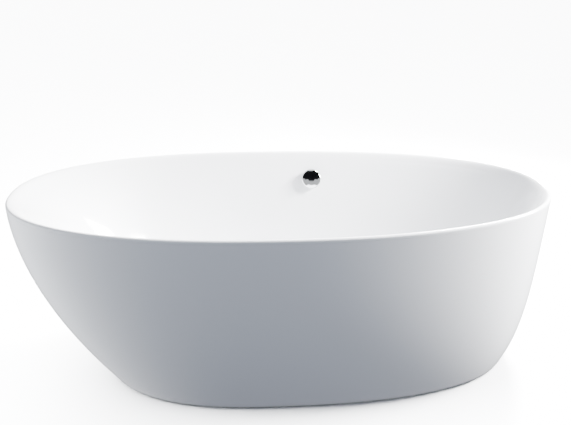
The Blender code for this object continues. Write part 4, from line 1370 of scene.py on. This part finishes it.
class BATHTUB_OT_stage(bpy.types.Operator):
    """Set up the camera, the floor and the studio light"""

    bl_idname = "bathtub.stage"
    bl_label = "Stage"

    def execute(self, context):
        settings = context.scene.bathtub_stage
        self.camera(context, settings)
        floor = self.floor(settings)
        self.lights(floor)
        self.world(context)
        return {"FINISHED"}

    @staticmethod
    def camera(context, settings):
        data = bpy.data.cameras.new("camera")
        data.lens = settings.lens
        data.sensor_width = 36.0
        camera = link("camera", data)
        flat = math.cos(settings.elevation)
        back = Vector((math.sin(settings.azimuth) * flat, -math.cos(settings.azimuth) * flat,
                       math.sin(settings.elevation)))
        camera.location = Vector(settings.target) + back * settings.distance
        camera.rotation_euler = (-back).to_track_quat("-Z", "Y").to_euler()
        context.scene.camera = camera

    @staticmethod
    def floor(settings):
        """A pale floor that can't be seen from below and throws no light back."""
        made, nodes, shader, place = new_material("studio_floor")
        colour = tuple(settings.floor)
        cloud = noise(nodes, place, 0.6, 2.0)
        nodes.put(shader.inputs["Base Color"], ramp(nodes, cloud, 0.3, 0.7, shade(colour, 0.99), colour))
        shader.inputs["Roughness"].default_value = 0.45
        below = nodes.add("ShaderNodeNewGeometry").outputs["Backfacing"]
        clear = nodes.add("ShaderNodeBsdfTransparent")
        blend_surface(nodes, "Material Output", below, shader, clear)
        builder = bmesh.new()
        bmesh.ops.create_grid(builder, x_segments=2, y_segments=2, size=40.0)
        mesh = bpy.data.meshes.new("floor")
        builder.to_mesh(mesh)
        builder.free()
        mesh.materials.append(made)
        floor = link("floor", mesh)
        floor.location.z = -0.0002
        floor.visible_diffuse = False
        floor.visible_glossy = False
        return floor

    @staticmethod
    def lights(floor):
        """Soft boxes above, behind and at both sides; the front stays dim."""
        area_light("box_above", (2.2, 1.3), (-0.1, 0.20, 1.90), (-0.1, 0.2, 0.0), 14)
        area_light("box_right", (0.9, 0.9), (2.30, 0.00, 1.75), (0.0, 0.05, 0.40), 760)
        area_light("box_back", (0.8, 0.5), (1.25, 1.60, 1.70), (-0.55, -0.05, 0.40), 640)
        area_light("box_left", (1.2, 0.5), (-2.00, 0.00, 0.20), (-0.5, 0.0, 0.20), 72,
                   (0.94, 0.97, 1.0), False)
        area_light("low_right", (0.6, 0.3), (1.85, -0.70, 0.10), (0.45, -0.25, 0.10), 11,
                   (0.95, 0.97, 1.0), False)
        area_light("fill_front", (1.5, 0.6), (0.0, -1.60, 1.90), (0.0, -0.3, 0.5), 12,
                   (0.82, 0.90, 1.0), False)
        sun = bpy.data.lights.new("floor_sun", "SUN")
        sun.energy = 54.0
        sun.angle = math.radians(60)
        lamp = link("floor_sun", sun)
        lamp.rotation_euler = (math.radians(-12), math.radians(-25), 0)
        only_floor = bpy.data.collections.new("lit_by_floor_sun")
        only_floor.objects.link(floor)
        lamp.light_linking.receiver_collection = only_floor

    @staticmethod
    def world(context):
        """White to the camera; to other rays a dim grey room by height, darkest just below the horizon,
        which mirror rays see bright below and near black above.
        """
        world = bpy.data.worlds.new("studio")
        context.scene.world = world
        world.use_nodes = True
        nodes = Nodes(world.node_tree)
        backdrop = world.node_tree.nodes["Background"]
        height = nodes.separate(nodes.add("ShaderNodeTexCoord").outputs["Generated"])[2]
        level = nodes.math("MULTIPLY_ADD", height, 0.5, 0.5)
        room = ramp(nodes, level, 0.15, 0.85, (0.15, 0.16, 0.20), (0.055, 0.062, 0.085),
                    (0.14, 0.168, 0.25), (0.385, 0.43, 0.54), (0.34, 0.355, 0.41))
        mirrored = ramp(nodes, level, 0.735, 0.75, (0.85, 0.86, 0.88), (0.010, 0.010, 0.012))
        paths = nodes.add("ShaderNodeLightPath").outputs
        chosen = nodes.add("ShaderNodeMix", {"Factor": paths["Is Glossy Ray"]}, data_type="RGBA")
        nodes.put(chosen.inputs[6], room)
        nodes.put(chosen.inputs[7], mirrored)
        nodes.put(backdrop.inputs["Color"], chosen.outputs[2])
        white = nodes.add("ShaderNodeBackground", {"Color": (1, 1, 1, 1), "Strength": 18.0})
        blend_surface(nodes, "World Output", paths["Is Camera Ray"], backdrop, white)


class BATHTUB_PT_panel(bpy.types.Panel):
    """The tub's steps and values"""

    bl_label = "Freestanding bathtub"
    bl_idname = "BATHTUB_PT_panel"
    bl_space_type = "VIEW_3D"
    bl_region_type = "UI"
    bl_category = "Bathtub"

    def draw(self, context):
        for step in STEPS:
            self.layout.operator(step.bl_idname)
        for group in (context.scene.bathtub_shape, context.scene.bathtub_finish,
                      context.scene.bathtub_stage):
            column = self.layout.column(align=True)
            for key in group.__annotations__:
                column.prop(group, key)


STEPS = (BATHTUB_OT_stage, BATHTUB_OT_lines, BATHTUB_OT_basin, BATHTUB_OT_skirt, BATHTUB_OT_overflow,
         BATHTUB_OT_waste, BATHTUB_OT_trap, BATHTUB_OT_support, BATHTUB_OT_fasteners, BATHTUB_OT_feet)
GROUPS = {"bathtub_shape": BathtubShape, "bathtub_finish": BathtubFinish, "bathtub_stage": BathtubStage}


def register():
    for key, group in GROUPS.items():
        bpy.utils.register_class(group)
        setattr(bpy.types.Scene, key, PointerProperty(type=group))
    for step in STEPS:
        bpy.utils.register_class(step)
    bpy.utils.register_class(BATHTUB_PT_panel)


def unregister():
    bpy.utils.unregister_class(BATHTUB_PT_panel)
    for step in reversed(STEPS):
        bpy.utils.unregister_class(step)
    for key, group in GROUPS.items():
        delattr(bpy.types.Scene, key)
        bpy.utils.unregister_class(group)


def main():
    register()
    for step in STEPS:
        area, name = step.bl_idname.split(".")
        getattr(getattr(bpy.ops, area), name)()


if __name__ == "__main__":
    main()
